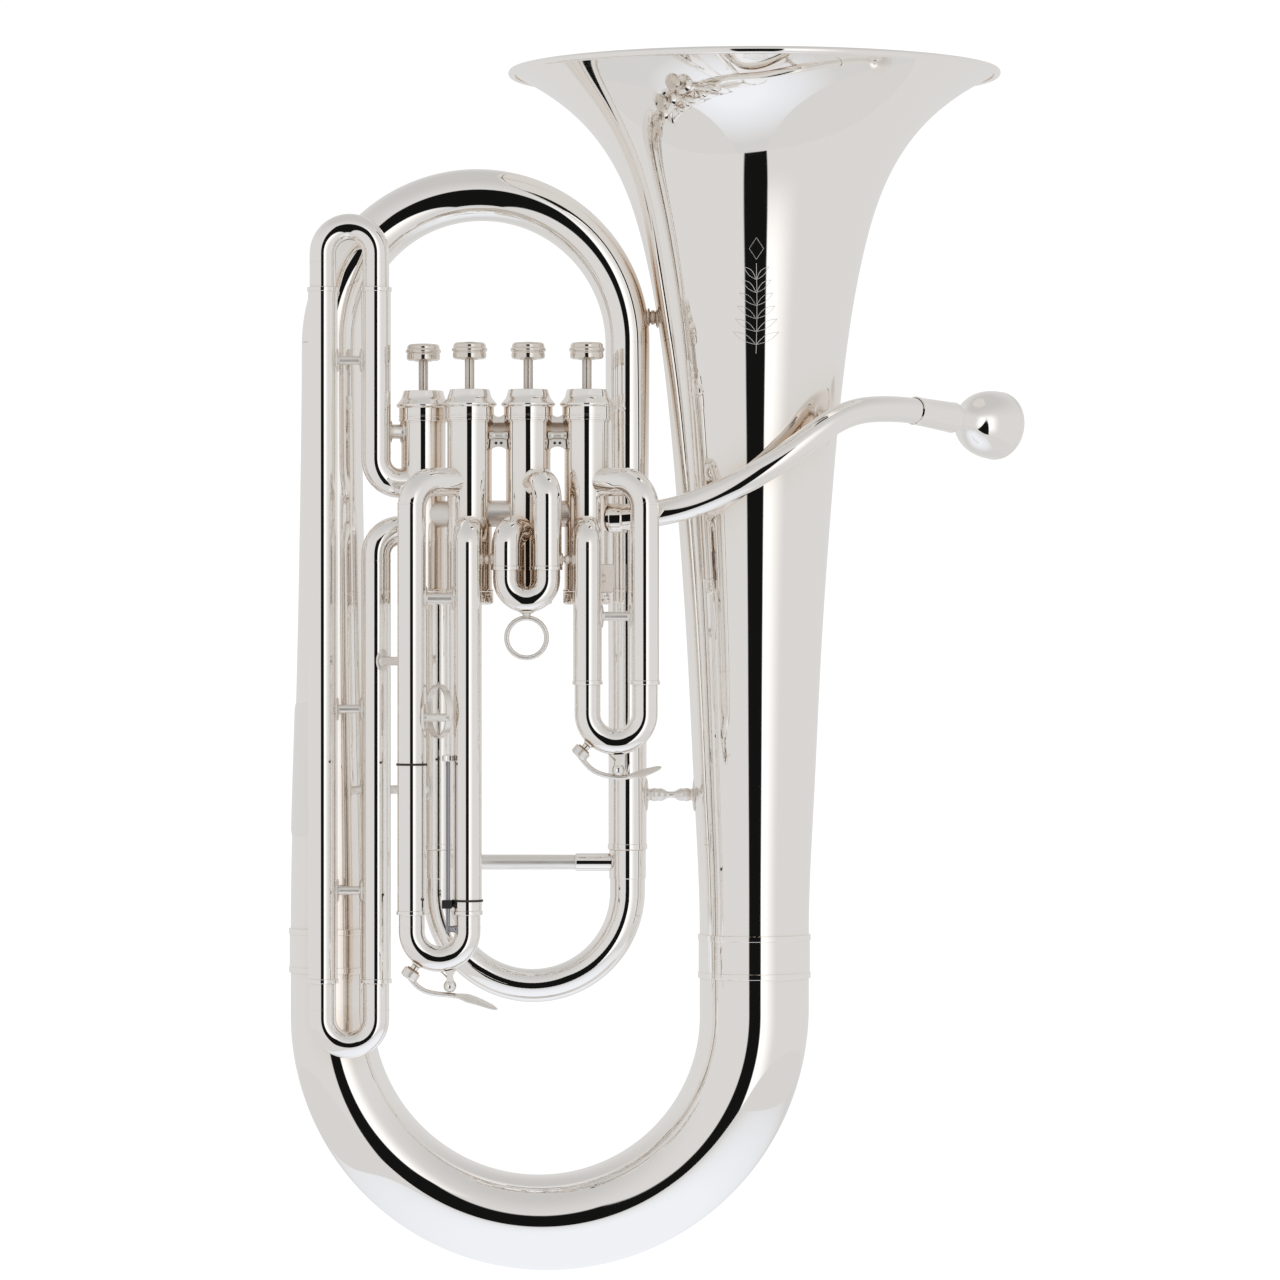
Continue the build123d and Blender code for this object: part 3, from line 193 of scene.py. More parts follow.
class Shape:
    """Collects closed surfaces, in millimetres, into one mesh."""

    def __init__(self):
        self.points, self.faces = [], []

    def skin(self, rings, wrap=False, cap=True):
        """Surface through rings of points. wrap joins the last ring to the first; cap closes the ends."""
        base, size, count = len(self.points), len(rings[0]), len(rings)
        for ring_points in rings:
            self.points.extend(ring_points)
        for i in range(count if wrap else count - 1):
            here, there = base + i * size, base + (i + 1) % count * size
            for k in range(size):
                nxt = (k + 1) % size
                self.faces.append((here + k, here + nxt, there + nxt, there + k))
        if cap and not wrap:
            self.faces.append(tuple(range(base + size - 1, base - 1, -1)))
            self.faces.append(tuple(range(base + (count - 1) * size, base + count * size)))

    def lathe(self, outline, centre=(0, 0, 0), way=UP, segments=64, closed=True):
        """Turned solid: outline is (radius, distance along way). closed outlines don't touch the axis."""
        way = Vector(way).normalized()
        side = (X_WAY if abs(way.x) < 0.8 else Y_WAY).cross(way).normalized()
        other = way.cross(side)
        centre = Vector(centre)
        rings = []
        for radius, along in held(outline, closed):
            middle = centre + way * along
            rings.append([middle + (side * cos(a) + other * sin(a)) * radius
                          for a in np.linspace(0, 2 * pi, segments, endpoint=False)])
        self.skin(rings, wrap=closed)
        return self

    def tube(self, path, radii, wall=None, segments=40, on=None, end_on=None):
        """Round tube along a dense path. wall hollows it. on and end_on are (x, y, radius) of the upright
        cylinder that an end is shaped to meet."""
        count = len(path)
        if isinstance(radii, (int, float)):
            radii = [radii] * count
        ways = [(path[min(i + 1, count - 1)] - path[max(i - 1, 0)]).normalized() for i in range(count)]
        side = ways[0].cross(UP if abs(ways[0].z) < 0.9 else Y_WAY).normalized()
        angles = np.linspace(0, 2 * pi, segments, endpoint=False)
        outer, inner = [], []
        for i, (point, way, radius) in enumerate(zip(path, ways, radii)):
            side = (side - way * side.dot(way)).normalized()
            other = way.cross(side)
            for rings, size in ((outer, radius), (inner, radius - (wall or 0))):
                ring_points = [point + (side * cos(a) + other * sin(a)) * size for a in angles]
                meets = on if i == 0 else end_on if i == count - 1 else None
                if meets:
                    ring_points = [onto_cylinder(p, way, meets) for p in ring_points]
                rings.append(ring_points)
        if wall:
            self.skin(outer + inner[::-1], wrap=True)
        else:
            self.skin(outer)
        return self

    def knurled(self, outline, x, y, count, depth, grooved, wrap):
        """Upright turned solid whose every other side is sunk by depth where grooved(radius, z) holds."""
        rings = []
        for radius, z in outline:
            radii = (radius, radius - depth * grooved(radius, z))
            rings.append([Vector((x + radii[k % 2] * cos(2 * pi * k / count),
                                  y + radii[k % 2] * sin(2 * pi * k / count), z)) for k in range(count)])
        self.skin(rings, wrap=wrap)
        return self

    def pad(self, axis_point, tube_radius, way, half_width, half_height, thick=1.1, segments=36):
        """Domed oval foot that wraps an upright tube, facing along way."""
        way = Vector(way)
        way.z = 0
        way.normalize()
        side = UP.cross(way)
        rings = []
        for share, rise in ((0.02, 1.0), (0.45, 0.96), (0.75, 0.78), (0.92, 0.5), (1.0, 0.12), (1.0, -0.25),
                            (0.02, -0.25)):
            ring_points = []
            for a in np.linspace(0, 2 * pi, segments, endpoint=False):
                round_angle = half_width * share * cos(a) / tube_radius
                out = way * cos(round_angle) + side * sin(round_angle)
                ring_points.append(Vector(axis_point) + out * (tube_radius + thick * rise)
                                   + UP * half_height * share * sin(a))
            rings.append(ring_points)
        self.skin(rings)
        return self

    def bar(self, start, end, profile, segments=28):
        """Turned bar between two points; profile is (share of length, radius)."""
        start, end = Vector(start), Vector(end)
        length = (end - start).length
        return self.lathe([(r, s * length) for s, r in profile], start, end - start, segments, closed=False)

    def slab(self, outline, origin, x_way, y_way, thick, ease=0.25):
        """Flat plate with a lightly eased edge: outline in its own plane, thickness along the normal."""
        x_way, y_way, origin = Vector(x_way), Vector(y_way), Vector(origin)
        normal = x_way.cross(y_way).normalized()
        middle = np.mean(np.array(outline, float), axis=0)
        rings = []
        half = thick / 2
        for depth, pull in ((-half, ease), (ease - half, 0), (half - ease, 0), (half, ease)):
            ring_points = []
            for point in outline:
                offset = np.array(point, float) - middle
                size = np.linalg.norm(offset)
                u, v = middle + offset * (size - pull) / size
                ring_points.append(origin + x_way * u + y_way * v + normal * depth)
            rings.append(ring_points)
        self.skin(rings)
        return self

    def piece(self, name, body, material, slot="silver_plate", replaces=(), sharp=32):
        """Makes the mesh object, fixes it to its body and hides the CAD nodes that it stands in for."""
        mesh = bpy.data.meshes.new(name)
        mesh.from_pydata([p * MM for p in map(Vector, self.points)], [], self.faces)
        mesh.materials.append(material)
        mesh.polygons.foreach_set("use_smooth", [True] * len(mesh.polygons))
        mesh.set_sharp_from_angle(angle=radians(sharp))
        mesh.update()
        obj = bpy.data.objects.new(name, mesh)
        scene.collection.objects.link(obj)
        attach(obj, body)
        if replaces:
            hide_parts(*replaces)
        return obj


def onto_cylinder(point, way, cylinder):
    """Slides a point along a level direction until it meets an upright cylinder."""
    x, y, radius = cylinder
    level = Vector((way.x, way.y, 0)).normalized()
    offset = Vector((point.x - x, point.y - y, 0))
    along = offset.dot(level)
    across = offset - level * along
    reach = sqrt(max(radius ** 2 - across.length_squared, 0))
    target = reach if along > 0 else -reach
    return point + level * (target - along)


# ---- materials

def set_inputs(tree, node, **values):
    """Sets inputs to values or to other nodes' outputs; an input's spaces are written as underscores."""
    for name, value in values.items():
        socket = node.inputs[name.replace("_", " ")]
        if isinstance(value, bpy.types.NodeSocket):
            tree.links.new(value, socket)
        else:
            socket.default_value = value
    return node


def add_node(tree, kind, **values):
    return set_inputs(tree, tree.nodes.new("ShaderNode" + kind), **values)


def arithmetic(tree, operation, *terms):
    """Output of a math node whose terms are numbers or other nodes' outputs."""
    node = add_node(tree, "Math")
    node.operation = operation
    for socket, term in zip(node.inputs, terms):
        if isinstance(term, (int, float)):
            socket.default_value = term
        else:
            tree.links.new(term, socket)
    return node.outputs[0]


def ramp(tree, stops, share):
    """Colour at share on a ramp through (position, colour) stops."""
    node = add_node(tree, "ValToRGB", Fac=share)
    elements = node.color_ramp.elements
    while len(elements) < len(stops):
        elements.new(0.5)
    for element, (position, colour) in zip(elements, stops):
        element.position = position
        element.color = (*colour, 1)
    return node.outputs["Color"]


def noise(tree, place, scale, detail, stretch=None):
    if stretch:
        place = add_node(tree, "Mapping", Vector=place, Scale=stretch).outputs["Vector"]
    return add_node(tree, "TexNoise", Vector=place, Scale=scale, Detail=detail).outputs["Fac"]


def new_material(name):
    """Material with its node tree, its shader and the socket of its object coordinates."""
    material = bpy.data.materials.new(name)
    material.use_nodes = True
    tree = material.node_tree
    return material, tree, tree.nodes["Principled BSDF"], add_node(tree, "TexCoord").outputs["Object"]


def silver(name, clean, shade_tint, low_rough, high_rough, wave=1.0, shade_reach=0.018):
    """Silver plate: soft waviness left by hand polishing, faint hairlines, and a warm painted shade that
    darkens the colour where surfaces crowd together, mottled at random."""
    material, tree, shader, place = new_material(name)
    # Painted shade: ambient occlusion pulls the colour towards the warm shade tint where surfaces crowd
    # together; noise adds a random mottle.
    crevice_shade = add_node(tree, "AmbientOcclusion", Distance=shade_reach)
    crevice_shade.samples = 6
    unshaded_with_mottle = arithmetic(tree, "MULTIPLY_ADD", noise(tree, place, 28, 4), 0.22, crevice_shade.outputs["AO"])
    half_shaded = tuple((a + 2 * b) / 3 for a, b in zip(shade_tint, clean))
    painted_shade_colour = ramp(tree, ((0.12, shade_tint), (0.62, half_shaded), (0.98, clean)), unshaded_with_mottle)
    smear = add_node(tree, "MapRange", Value=noise(tree, place, 45, 5), From_Min=0.35, From_Max=0.75,
                     To_Min=low_rough, To_Max=high_rough)
    swell = add_node(tree, "Bump", Height=noise(tree, place, 30, 1.5), Distance=0.00004 * wave, Strength=1.0)
    hairline = add_node(tree, "Bump", Height=noise(tree, place, 900, 2, (1, 1, 0.06)), Distance=0.0000006,
                        Strength=0.6, Normal=swell.outputs["Normal"])
    set_inputs(tree, shader, Metallic=1.0, Base_Color=painted_shade_colour, Roughness=smear.outputs["Result"],
               Normal=hairline.outputs["Normal"])
    return material


def matt(name, grained, stops, roughness, depth):
    """Dull material whose grain drives its colour and a shallow bump; grained(tree, place) is its socket."""
    material, tree, shader, place = new_material(name)
    grain = grained(tree, place)
    bump = add_node(tree, "Bump", Height=grain, Distance=depth)
    set_inputs(tree, shader, Base_Color=ramp(tree, stops, grain), Roughness=roughness,
               Normal=bump.outputs["Normal"])
    return material


def cork_cells(tree, place):
    return add_node(tree, "TexVoronoi", Vector=place, Scale=1400).outputs["Distance"]


def rubber_dust(tree, place):
    return noise(tree, place, 600, 4)


CLEAN = (0.965, 0.945, 0.92)
# Warm tint of the painted shade in crowded hollows.
CREVICE_SHADE_TINT = (0.70, 0.55, 0.42)
SILVER = silver("silver_plate", CLEAN, CREVICE_SHADE_TINT, 0.02, 0.05)
BELL_SILVER = silver("silver_bell", CLEAN, CREVICE_SHADE_TINT, 0.02, 0.045, wave=0.6, shade_reach=0.03)
BUTTON_SILVER = silver("silver_button", (0.84, 0.79, 0.73), (0.50, 0.40, 0.31), 0.06, 0.14, wave=1.5)
SATIN_SILVER = silver("silver_satin", (0.93, 0.905, 0.87), CREVICE_SHADE_TINT, 0.34, 0.46, wave=0.5)
ROD_STEEL = silver("rod_steel", (0.40, 0.40, 0.44), (0.30, 0.27, 0.25), 0.10, 0.22)
DARK_METAL = silver("dark_steel", (0.10, 0.10, 0.105), (0.05, 0.045, 0.04), 0.25, 0.4)
WORN_SILVER = silver("silver_worn", (0.93, 0.92, 0.90), CREVICE_SHADE_TINT, 0.06, 0.16, wave=0.6)
ENGRAVED = silver("silver_engraved", (0.80, 0.79, 0.77), CREVICE_SHADE_TINT, 0.25, 0.4)
PISTON_ALLOY = silver("piston_alloy", (0.70, 0.65, 0.60), (0.50, 0.42, 0.34), 0.16, 0.28)
SPRING_WIRE = silver("spring_wire", (0.72, 0.68, 0.60), (0.5, 0.4, 0.3), 0.18, 0.3)
CORK = matt("natural_cork", cork_cells,
            ((0.0, (0.20, 0.11, 0.05)), (0.35, (0.46, 0.29, 0.15)), (1.0, (0.62, 0.43, 0.25))), 0.85, 0.0002)
RUBBER = matt("black_rubber", rubber_dust,
              ((0.3, (0.010, 0.010, 0.011)), (0.8, (0.035, 0.034, 0.033))), 0.55, 0.00005)

# ---- main tubing

BELL_X, BELL_Y = axis_xy("bell")
BELL_LOW, BELL_HIGH = span("bell")
BELL_JOINT, BRANCH_JOINT = 31.0, 23.2
RIM_BEAD = 2.2
BELL_WALL = TUBE_WALL = 0.8
RIM_EDGE = ((BELL_HIGH.x - BELL_LOW.x) / 2 - RIM_BEAD, BELL_HIGH.z + 0.3 - RIM_BEAD)
BELL_OUTLINE = [(BELL_JOINT, 191.5), (33.9, 267), (38.1, 352), (44.0, 437), (52.5, 522.5), (62.6, 579.5),
                (77.0, 622), (96.6, 650.5), (117.5, 668), RIM_EDGE]
BELL_EDGE_WAY = (20.0, 9.5)
BELL_CURVE = smooth_curve(BELL_OUTLINE, 14, (0, 1), BELL_EDGE_WAY)
BRANCH_X = axis_xy("main_branch")[0]
BRANCH_TOP_Z = span("main_branch")[1].z
BRANCH_CURVE = smooth_curve([(BRANCH_JOINT, 194.5), (20.3, 320), (17.9, 437), (17.0, BRANCH_TOP_Z)], 16,
                            (0, 1), (0, 1))
# Outside radii of the tuning slide's right and left legs: the fixed tubes and the sliding ones.
TUNING_OUTER, TUNING_INNER = (10.8, 9.8), (9.9, 8.9)
TUNING_RIGHT = axis_xy("descending_tube")[0]
TUNING_LEFT = span("tuning_slide_tubes")[0].x + TUNING_INNER[1]
CASING_RADIUS = 12.5


def bell_radius(z):
    """Outside radius of the bell at a height."""
    return float(np.interp(z, BELL_CURVE[:, 1], BELL_CURVE[:, 0]))


def bell():
    edge_turn = atan2(BELL_EDGE_WAY[1], BELL_EDGE_WAY[0])
    bead = [(RIM_EDGE[0] + RIM_BEAD * cos(a), min(RIM_EDGE[1] + RIM_BEAD * sin(a), BELL_HIGH.z))
            for a in np.linspace(edge_turn + pi + 0.30, edge_turn + 3 * pi - 0.36, 40)]
    outer = [(BELL_JOINT, BELL_LOW.z), *map(tuple, BELL_CURVE[:-1])]
    inner = [tuple(p) for p in inset(BELL_CURVE, BELL_WALL)[:-1]][::-1]
    inner.append((BELL_JOINT - BELL_WALL, BELL_LOW.z))
    Shape().lathe(outer + bead + inner, (BELL_X, BELL_Y, 0), segments=192).piece(
        "bell_flare", "horn", BELL_SILVER, "bell_silver", ["bell"])


def ribbon(low, high, face, proud, ease=0.2):
    """Outline points of a low flat band from low to high, standing proud of a face radius."""
    return [(face + proud - ease, low), (face + proud, low + ease), (face + proud, high - ease),
            (face + proud - ease, high)]


def ferrule(name, node, tube_radius):
    """Joint sleeve with a low flat band at each end."""
    low, high = span(node)
    x, y = axis_xy(node)
    face, band = tube_radius + 0.6, 3.2
    outline = [(tube_radius - 0.1, low.z), *ribbon(low.z, low.z + band, face, 0.45), (face, low.z + band),
               (face, high.z - band), *ribbon(high.z - band, high.z, face, 0.45), (tube_radius - 0.1, high.z)]
    Shape().lathe(outline, (x, y, 0), segments=128).piece(name, "horn", SILVER, replaces=[node])


def bottom_bow():
    """Half turn under the instrument, wide at the bell and narrower at the branch."""
    low, high = span("bottom_bow")
    bend = ((high.x - BELL_JOINT) - (low.x + BRANCH_JOINT)) / 2
    bell_end_z, arc_z = 178.0, high.z - 34.9
    radii_points = ((0, BELL_JOINT), (0.25, 29.05), (0.5, 27.05), (0.75, 25.2), (1, BRANCH_JOINT))
    turns = np.linspace(0, -180, 121)
    path = [Vector((bend, 0, bell_end_z)), *arc((0, 0, arc_z), bend, 0, -180, 121),
            Vector((-bend, 0, high.z))]
    radii = np.interp(-turns / 180, *zip(*radii_points))
    Shape().tube(path, [BELL_JOINT, *radii, BRANCH_JOINT], 1.0, 128).piece(
        "bottom_bow_tube", "horn", SILVER, replaces=["bottom_bow"])


def tapered_leg(name, node, curve, segments):
    """Upright tube with a tapering wall; its lower part is straight."""
    x, y = axis_xy(node)
    outer = [(curve[0][0], span(node)[0].z), *map(tuple, curve)]
    inner = [(r - TUBE_WALL, z) for r, z in outer][::-1]
    Shape().lathe(outer + inner, (x, y, 0), segments=segments).piece(name, "horn", SILVER, replaces=[node])


def branch_radius(z):
    """Outside radius of the main branch at a height."""
    return float(np.interp(z, BRANCH_CURVE[:, 1], BRANCH_CURVE[:, 0]))


def main_branch():
    tapered_leg("main_branch_tube", "main_branch", BRANCH_CURVE, 96)
    arch_low, arch_high = span("top_bow")
    left, right = 17.0, 12.5
    bend = ((arch_high.x - right) - (arch_low.x + left)) / 2
    path = arc((arch_low.x + left + bend, 0, BRANCH_TOP_Z), bend, 180, 0, 121)
    radii = [left + (right - left) * i / 120 for i in range(121)]
    Shape().tube(path, radii, TUBE_WALL, 96).piece("top_bow_tube", "horn", SILVER, replaces=["top_bow"])


def descending_tube():
    """Right leg down to the tuning slide, and the left leg that turns into valve 4."""
    curve = smooth_curve([(TUNING_OUTER[0], 324), (11.6, 420), (12.5, span("descending_tube")[1].z)], 16,
                         (0, 1), (0, 1))
    tapered_leg("descending_leg", "descending_tube", curve, 72)
    low, high = span("outlet_tube")
    valve_x, valve_y = axis_xy("valve_casing_4")
    height = high.z - TUNING_OUTER[1]
    path = route(((TUNING_LEFT, 0, low.z), (TUNING_LEFT, 0, height), (valve_x, valve_y, height)), 13.5)
    Shape().tube(path, TUNING_OUTER[1], TUBE_WALL, 64, end_on=(valve_x, valve_y, CASING_RADIUS + 0.1)).piece(
        "outlet_leg", "horn", SILVER, replaces=["outlet_tube"])


bell()
ferrule("bell_joint_sleeve", "bell_ferrule", BELL_JOINT)
ferrule("branch_joint_sleeve", "branch_ferrule", BRANCH_JOINT)
bottom_bow()
main_branch()
descending_tube()

# ---- valves

CASINGS = [axis_xy(f"valve_casing_{number}") for number in (1, 2, 3, 4)]
CASING_TOP = span("valve_casing_1")[1].z
CAP_TOP = span("valve_top_caps")[1].z
CAP_RIM = 15.2


def valve_collar(number, x, y):
    """Reinforced top of a casing: a wide sleeve with two fine ribs near its lower edge."""
    low, top, face = 480.9, CASING_TOP + 1.6, 13.7
    outline = [(CASING_RADIUS, low), *ribbon(low, low + 1.0, face, 0.25, 0.1), (face, low + 1.0),
               (face, low + 2.3), *ribbon(low + 2.3, low + 3.1, face, 0.25, 0.1), (face, low + 3.1),
               (face, top), (CASING_RADIUS, top)]
    Shape().lathe(outline, (x, y, 0), segments=96).piece(f"valve_collar_{number}", "horn", SILVER)


def valve_cap(number, x, y):
    """Screwed top cap: a thin rim, a hollow neck and a tapered top with a lip round the stem hole."""
    top = CAP_TOP
    neck = [tuple(p) for p in smooth_curve([(14.9, top - 7.9), (13.6, top - 6.4), (12.5, top - 4.9),
                                            (12.0, top - 3.7)], 6)]
    outline = [(3.1, top - 2.0), (9.0, top - 2.0), (9.0, 487.3), (13.75, 488.2), (14.6, top - 9.6),
               (15.0, top - 9.3), (CAP_RIM, top - 8.9), (CAP_RIM, top - 8.3), (15.0, top - 8.0), *neck,
               (11.9, top - 3.3), (11.15, top - 0.5), (10.7, top - 0.25), (6.2, top - 0.3), (5.6, top),
               (3.6, top), (3.1, top - 0.5)]
    Shape().lathe(outline, (x, y, 0), segments=96).piece(
        f"valve_top_cap_{number}", "horn", SILVER, sharp=40)


def bottom_cap(number, x, y):
    """Bottom cap with a knurled band, a bead above it and a small vent."""
    low = span("valve_bottom_caps")[0].z
    outline = raised([(1.5, 2.2), (1.5, 0), (3.0, 0), (3.4, 0.35), (9.8, 0.5), (11.2, 0.2), (12.7, 0.5),
                      (13.3, 1.3), (13.3, 6.6), (13.0, 7.2), (13.45, 7.7), (13.45, 8.4), (13.1, 8.9),
                      (12.55, 9.0), (12.55, 3.2)], low)
    shape = Shape().knurled(outline, x, y, 120, 0.2,
                            lambda radius, z: low + 1.2 < z < low + 6.8 and radius > 13, wrap=True)
    shape.piece(f"valve_bottom_cap_{number}", "horn", SILVER, sharp=28)


def finger_button(number):
    """Thick touch disc: domed top, a raised ridge round its middle and a narrower underside."""
    node = f"finger_button_{number}"
    low, high = span(node)
    x, y = axis_xy(node)
    base, top = low.z, high.z
    radius = (high.x - low.x) / 2
    crown = [(radius * s, top - 1.0 + 1.0 * cos(s * pi / 2.2) - 0.12) for s in (0.02, 0.2, 0.4, 0.6)]
    outline = raised([(2.5, 3.2), (2.5, 0), (4.6, 0), (5.2, 0.4), (8.2, 0.5), (9.2, 1.1), (9.4, 2.0),
                      (9.4, 3.8), (9.15, 4.1), (9.15, 4.5), (9.7, 4.9), (radius, 5.6), (radius, 6.1),
                      (9.6, 6.8), (9.2, 7.0), (9.1, 7.5), (9.05, 8.5), (8.6, 9.2), (7.8, 9.7)], base)
    outline += crown[::-1]
    Shape().lathe(outline, (x, y, 0), segments=96, closed=False).piece(
        f"touch_button_{number}", f"valve_{number}", BUTTON_SILVER, "button_silver", [node], sharp=40)


for valve, (valve_x, valve_y) in enumerate(CASINGS, 1):
    valve_collar(valve, valve_x, valve_y)
    valve_cap(valve, valve_x, valve_y)
    bottom_cap(valve, valve_x, valve_y)
    finger_button(valve)
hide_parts("valve_top_caps")
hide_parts("valve_bottom_caps")

# ---- slides

FIRST = leg_pair("first_slide_tubes")
SECOND = leg_pair("second_slide_tubes")
THIRD = leg_pair("third_slide_tubes")
FOURTH_OUTER, FOURTH_INNER = 8.3, 7.4
FOURTH_LEFT, FOURTH_Y = axis_xy("fourth_long_tube")
FOURTH_RIGHT = span("fourth_upper_slide")[1].x - FOURTH_INNER
FRONT_Y = FIRST[2]
OUTER, INNER = 8.0, 7.2


def band(shape, x, y, low, high, inside, proud):
    """Low flat band round an upright tube."""
    shape.lathe([(inside - 0.15, low), *ribbon(low, high, inside, proud), (inside - 0.15, high)], (x, y, 0),
                segments=72)


def seam(shape, x, y, z, radius):
    """Fine sleeve edge where two tubes of nearly the same size meet."""
    outline = [(radius - 0.1, z - 0.45), (radius + 0.13, z - 0.4), (radius + 0.16, z),
               (radius + 0.13, z + 0.4), (radius - 0.1, z + 0.45)]
    shape.lathe(outline, (x, y, 0), segments=72)


def slide_beads():
    """Flat bands round the mouths of the outer slide tubes, and the sleeve lines of their bends."""
    shape = Shape()
    for legs, name in ((FIRST, "first"), (SECOND, "second"), (THIRD, "third")):
        mouth = span(f"{name}_outer_tubes")[0].z
        for x in legs[:2]:
            band(shape, x, FRONT_Y, mouth, mouth + 2.2, OUTER, 0.5)
    fourth_low, fourth_high = (corner.z for corner in span("fourth_long_tube"))
    for x in (FOURTH_LEFT, FOURTH_RIGHT):
        band(shape, x, FOURTH_Y, fourth_high - 2.4, fourth_high, FOURTH_OUTER, 0.55)
        band(shape, x, FOURTH_Y, fourth_low, fourth_low + 2.4, FOURTH_OUTER, 0.55)
    tuning_mouth = span("descending_tube")[0].z
    for x, radius in zip((TUNING_RIGHT, TUNING_LEFT), TUNING_OUTER):
        band(shape, x, 0, tuning_mouth, tuning_mouth + 3.0, radius, 0.45)
    shape.piece("slide_mouth_bands", "horn", SILVER, replaces=["slide_rings"])
    lines = Shape()
    for legs, high_side in ((FIRST, 1), (SECOND, 1), (THIRD, 0)):
        seam(lines, legs[high_side], FRONT_Y, 433.6, OUTER)
        seam(lines, legs[1 - high_side], FRONT_Y, 407.8, OUTER)
    seam(lines, FOURTH_RIGHT, FOURTH_Y, 463.0, FOURTH_OUTER)
    seam(lines, FOURTH_RIGHT, FOURTH_Y, 402.0, FOURTH_OUTER)
    lines.piece("bend_sleeve_lines", "horn", SILVER)


def slide_joint_lines():
    """Sleeve edges where each slide's bow is joined to its two legs."""
    for name, legs in (("first", FIRST), ("second", SECOND), ("third", THIRD)):
        shape = Shape()
        for x in legs[:2]:
            seam(shape, x, FRONT_Y, span(f"{name}_slide_bow")[1].z, INNER)
        shape.piece(f"{name}_slide_joint_lines", f"{name}_slide", SILVER)
    for name, z in (("fourth_upper", 570.0), ("fourth_lower", 150.0)):
        shape = Shape()
        for x in (FOURTH_LEFT, FOURTH_RIGHT):
            seam(shape, x, FOURTH_Y, z, FOURTH_INNER)
        shape.piece(f"{name}_slide_joint_lines", f"{name}_slide", SILVER)
    shape = Shape()
    low, high = span("tuning_bow")[1].z - 0.4, span("descending_tube")[0].z - 0.15
    for x, radius in zip((TUNING_RIGHT, TUNING_LEFT), TUNING_INNER):
        shape.lathe([(radius - 0.2, low), (radius + 0.35, low), (radius + 0.5, low + 0.3),
                     (radius + 0.5, high - 0.3), (radius + 0.35, high), (radius - 0.2, high)], (x, 0, 0),
                    segments=72)
    shape.piece("tuning_slide_sleeves", "tuning_slide", SILVER)


slide_beads()
slide_joint_lines()


def pull_ring():
    """Ring of the second slide on a small flared foot under its bow."""
    low, high = span("second_pull_ring")
    wire, radius = 1.4, 12.5
    x = (low.x + high.x) / 2
    middle = Vector((x, FRONT_Y, low.z + radius))
    rings = []
    for a in np.linspace(0, 2 * pi, 96, endpoint=False):
        out = X_WAY * cos(a) + UP * sin(a)
        rings.append([middle + out * (radius - wire + wire * cos(b)) - Y_WAY * wire * sin(b)
                      for b in np.linspace(0, 2 * pi, 20, endpoint=False)])
    shape = Shape()
    shape.skin(rings, wrap=True)
    bow_bottom = span("second_slide_bow")[0].z
    foot = (raised([(0.05, -1.6), (2.4, -1.2), (1.9, -0.2)], middle.z + radius)
            + raised([(2.6, -0.6), (4.2, 0.2), (4.6, 0.9), (0.05, 0.9)], bow_bottom))
    shape.lathe(foot, (x, FRONT_Y, 0), segments=48, closed=False)
    shape.piece("second_slide_pull_ring", "second_slide", SATIN_SILVER, replaces=["second_pull_ring"])


def thumb_ring():
    """Flat strap bent into a ring, held by a bar from an oval foot on the third slide's left leg."""
    centre, bar_z, turn = Vector((-56.9, -65.0, 318.1)), 314.8, radians(117)
    across = Vector((cos(turn), sin(turn), 0))
    normal = UP.cross(across)
    section = [(13.9, -2.0), (14.7, -2.0), (15.0, -1.7), (15.0, 1.7), (14.7, 2.0), (13.9, 2.0), (13.6, 1.7),
               (13.6, -1.7)]
    rings = [[centre + (across * cos(a) + UP * sin(a)) * r + normal * w for r, w in section]
             for a in np.linspace(0, 2 * pi, 96, endpoint=False)]
    shape = Shape()
    shape.skin(rings, wrap=True)
    start = Vector((THIRD[0], FRONT_Y, bar_z))
    end = centre - across * 14.2 + UP * (bar_z - centre.z)
    shape.bar(start + (end - start) * 0.35, end, ((0, 2.9), (0.12, 2.3), (0.9, 2.2), (1.0, 1.8)))
    shape.pad((THIRD[0], FRONT_Y, bar_z), OUTER, end - start, 4.6, 7.6)
    shape.piece("thumb_ring_strap", "horn", SATIN_SILVER, replaces=["thumb_ring"])


pull_ring()
thumb_ring()

# ---- braces

BAR_ENDS = ((0, 3.2), (0.05, 3.2), (0.09, 2.8), (0.12, 2.5), (0.5, 2.45), (0.88, 2.5), (0.91, 2.8),
            (0.95, 3.2), (1, 3.2))
LOW_BRACE_Z = 273.5
TOP_STAY_X = 59.9


def brace(shape, start, end, start_radius, end_radius, profile=BAR_ENDS, foot=(4.2, 6.6)):
    """Bar between two upright tubes with an oval foot wrapped on each."""
    start, end = Vector(start), Vector(end)
    way = (end - start).normalized()
    level = Vector((way.x, way.y, 0)).normalized()
    shape.bar(start + level * (start_radius - 0.6), end - level * (end_radius - 0.6), profile)
    shape.pad(start, start_radius, level, *foot)
    shape.pad(end, end_radius, -level, *foot)


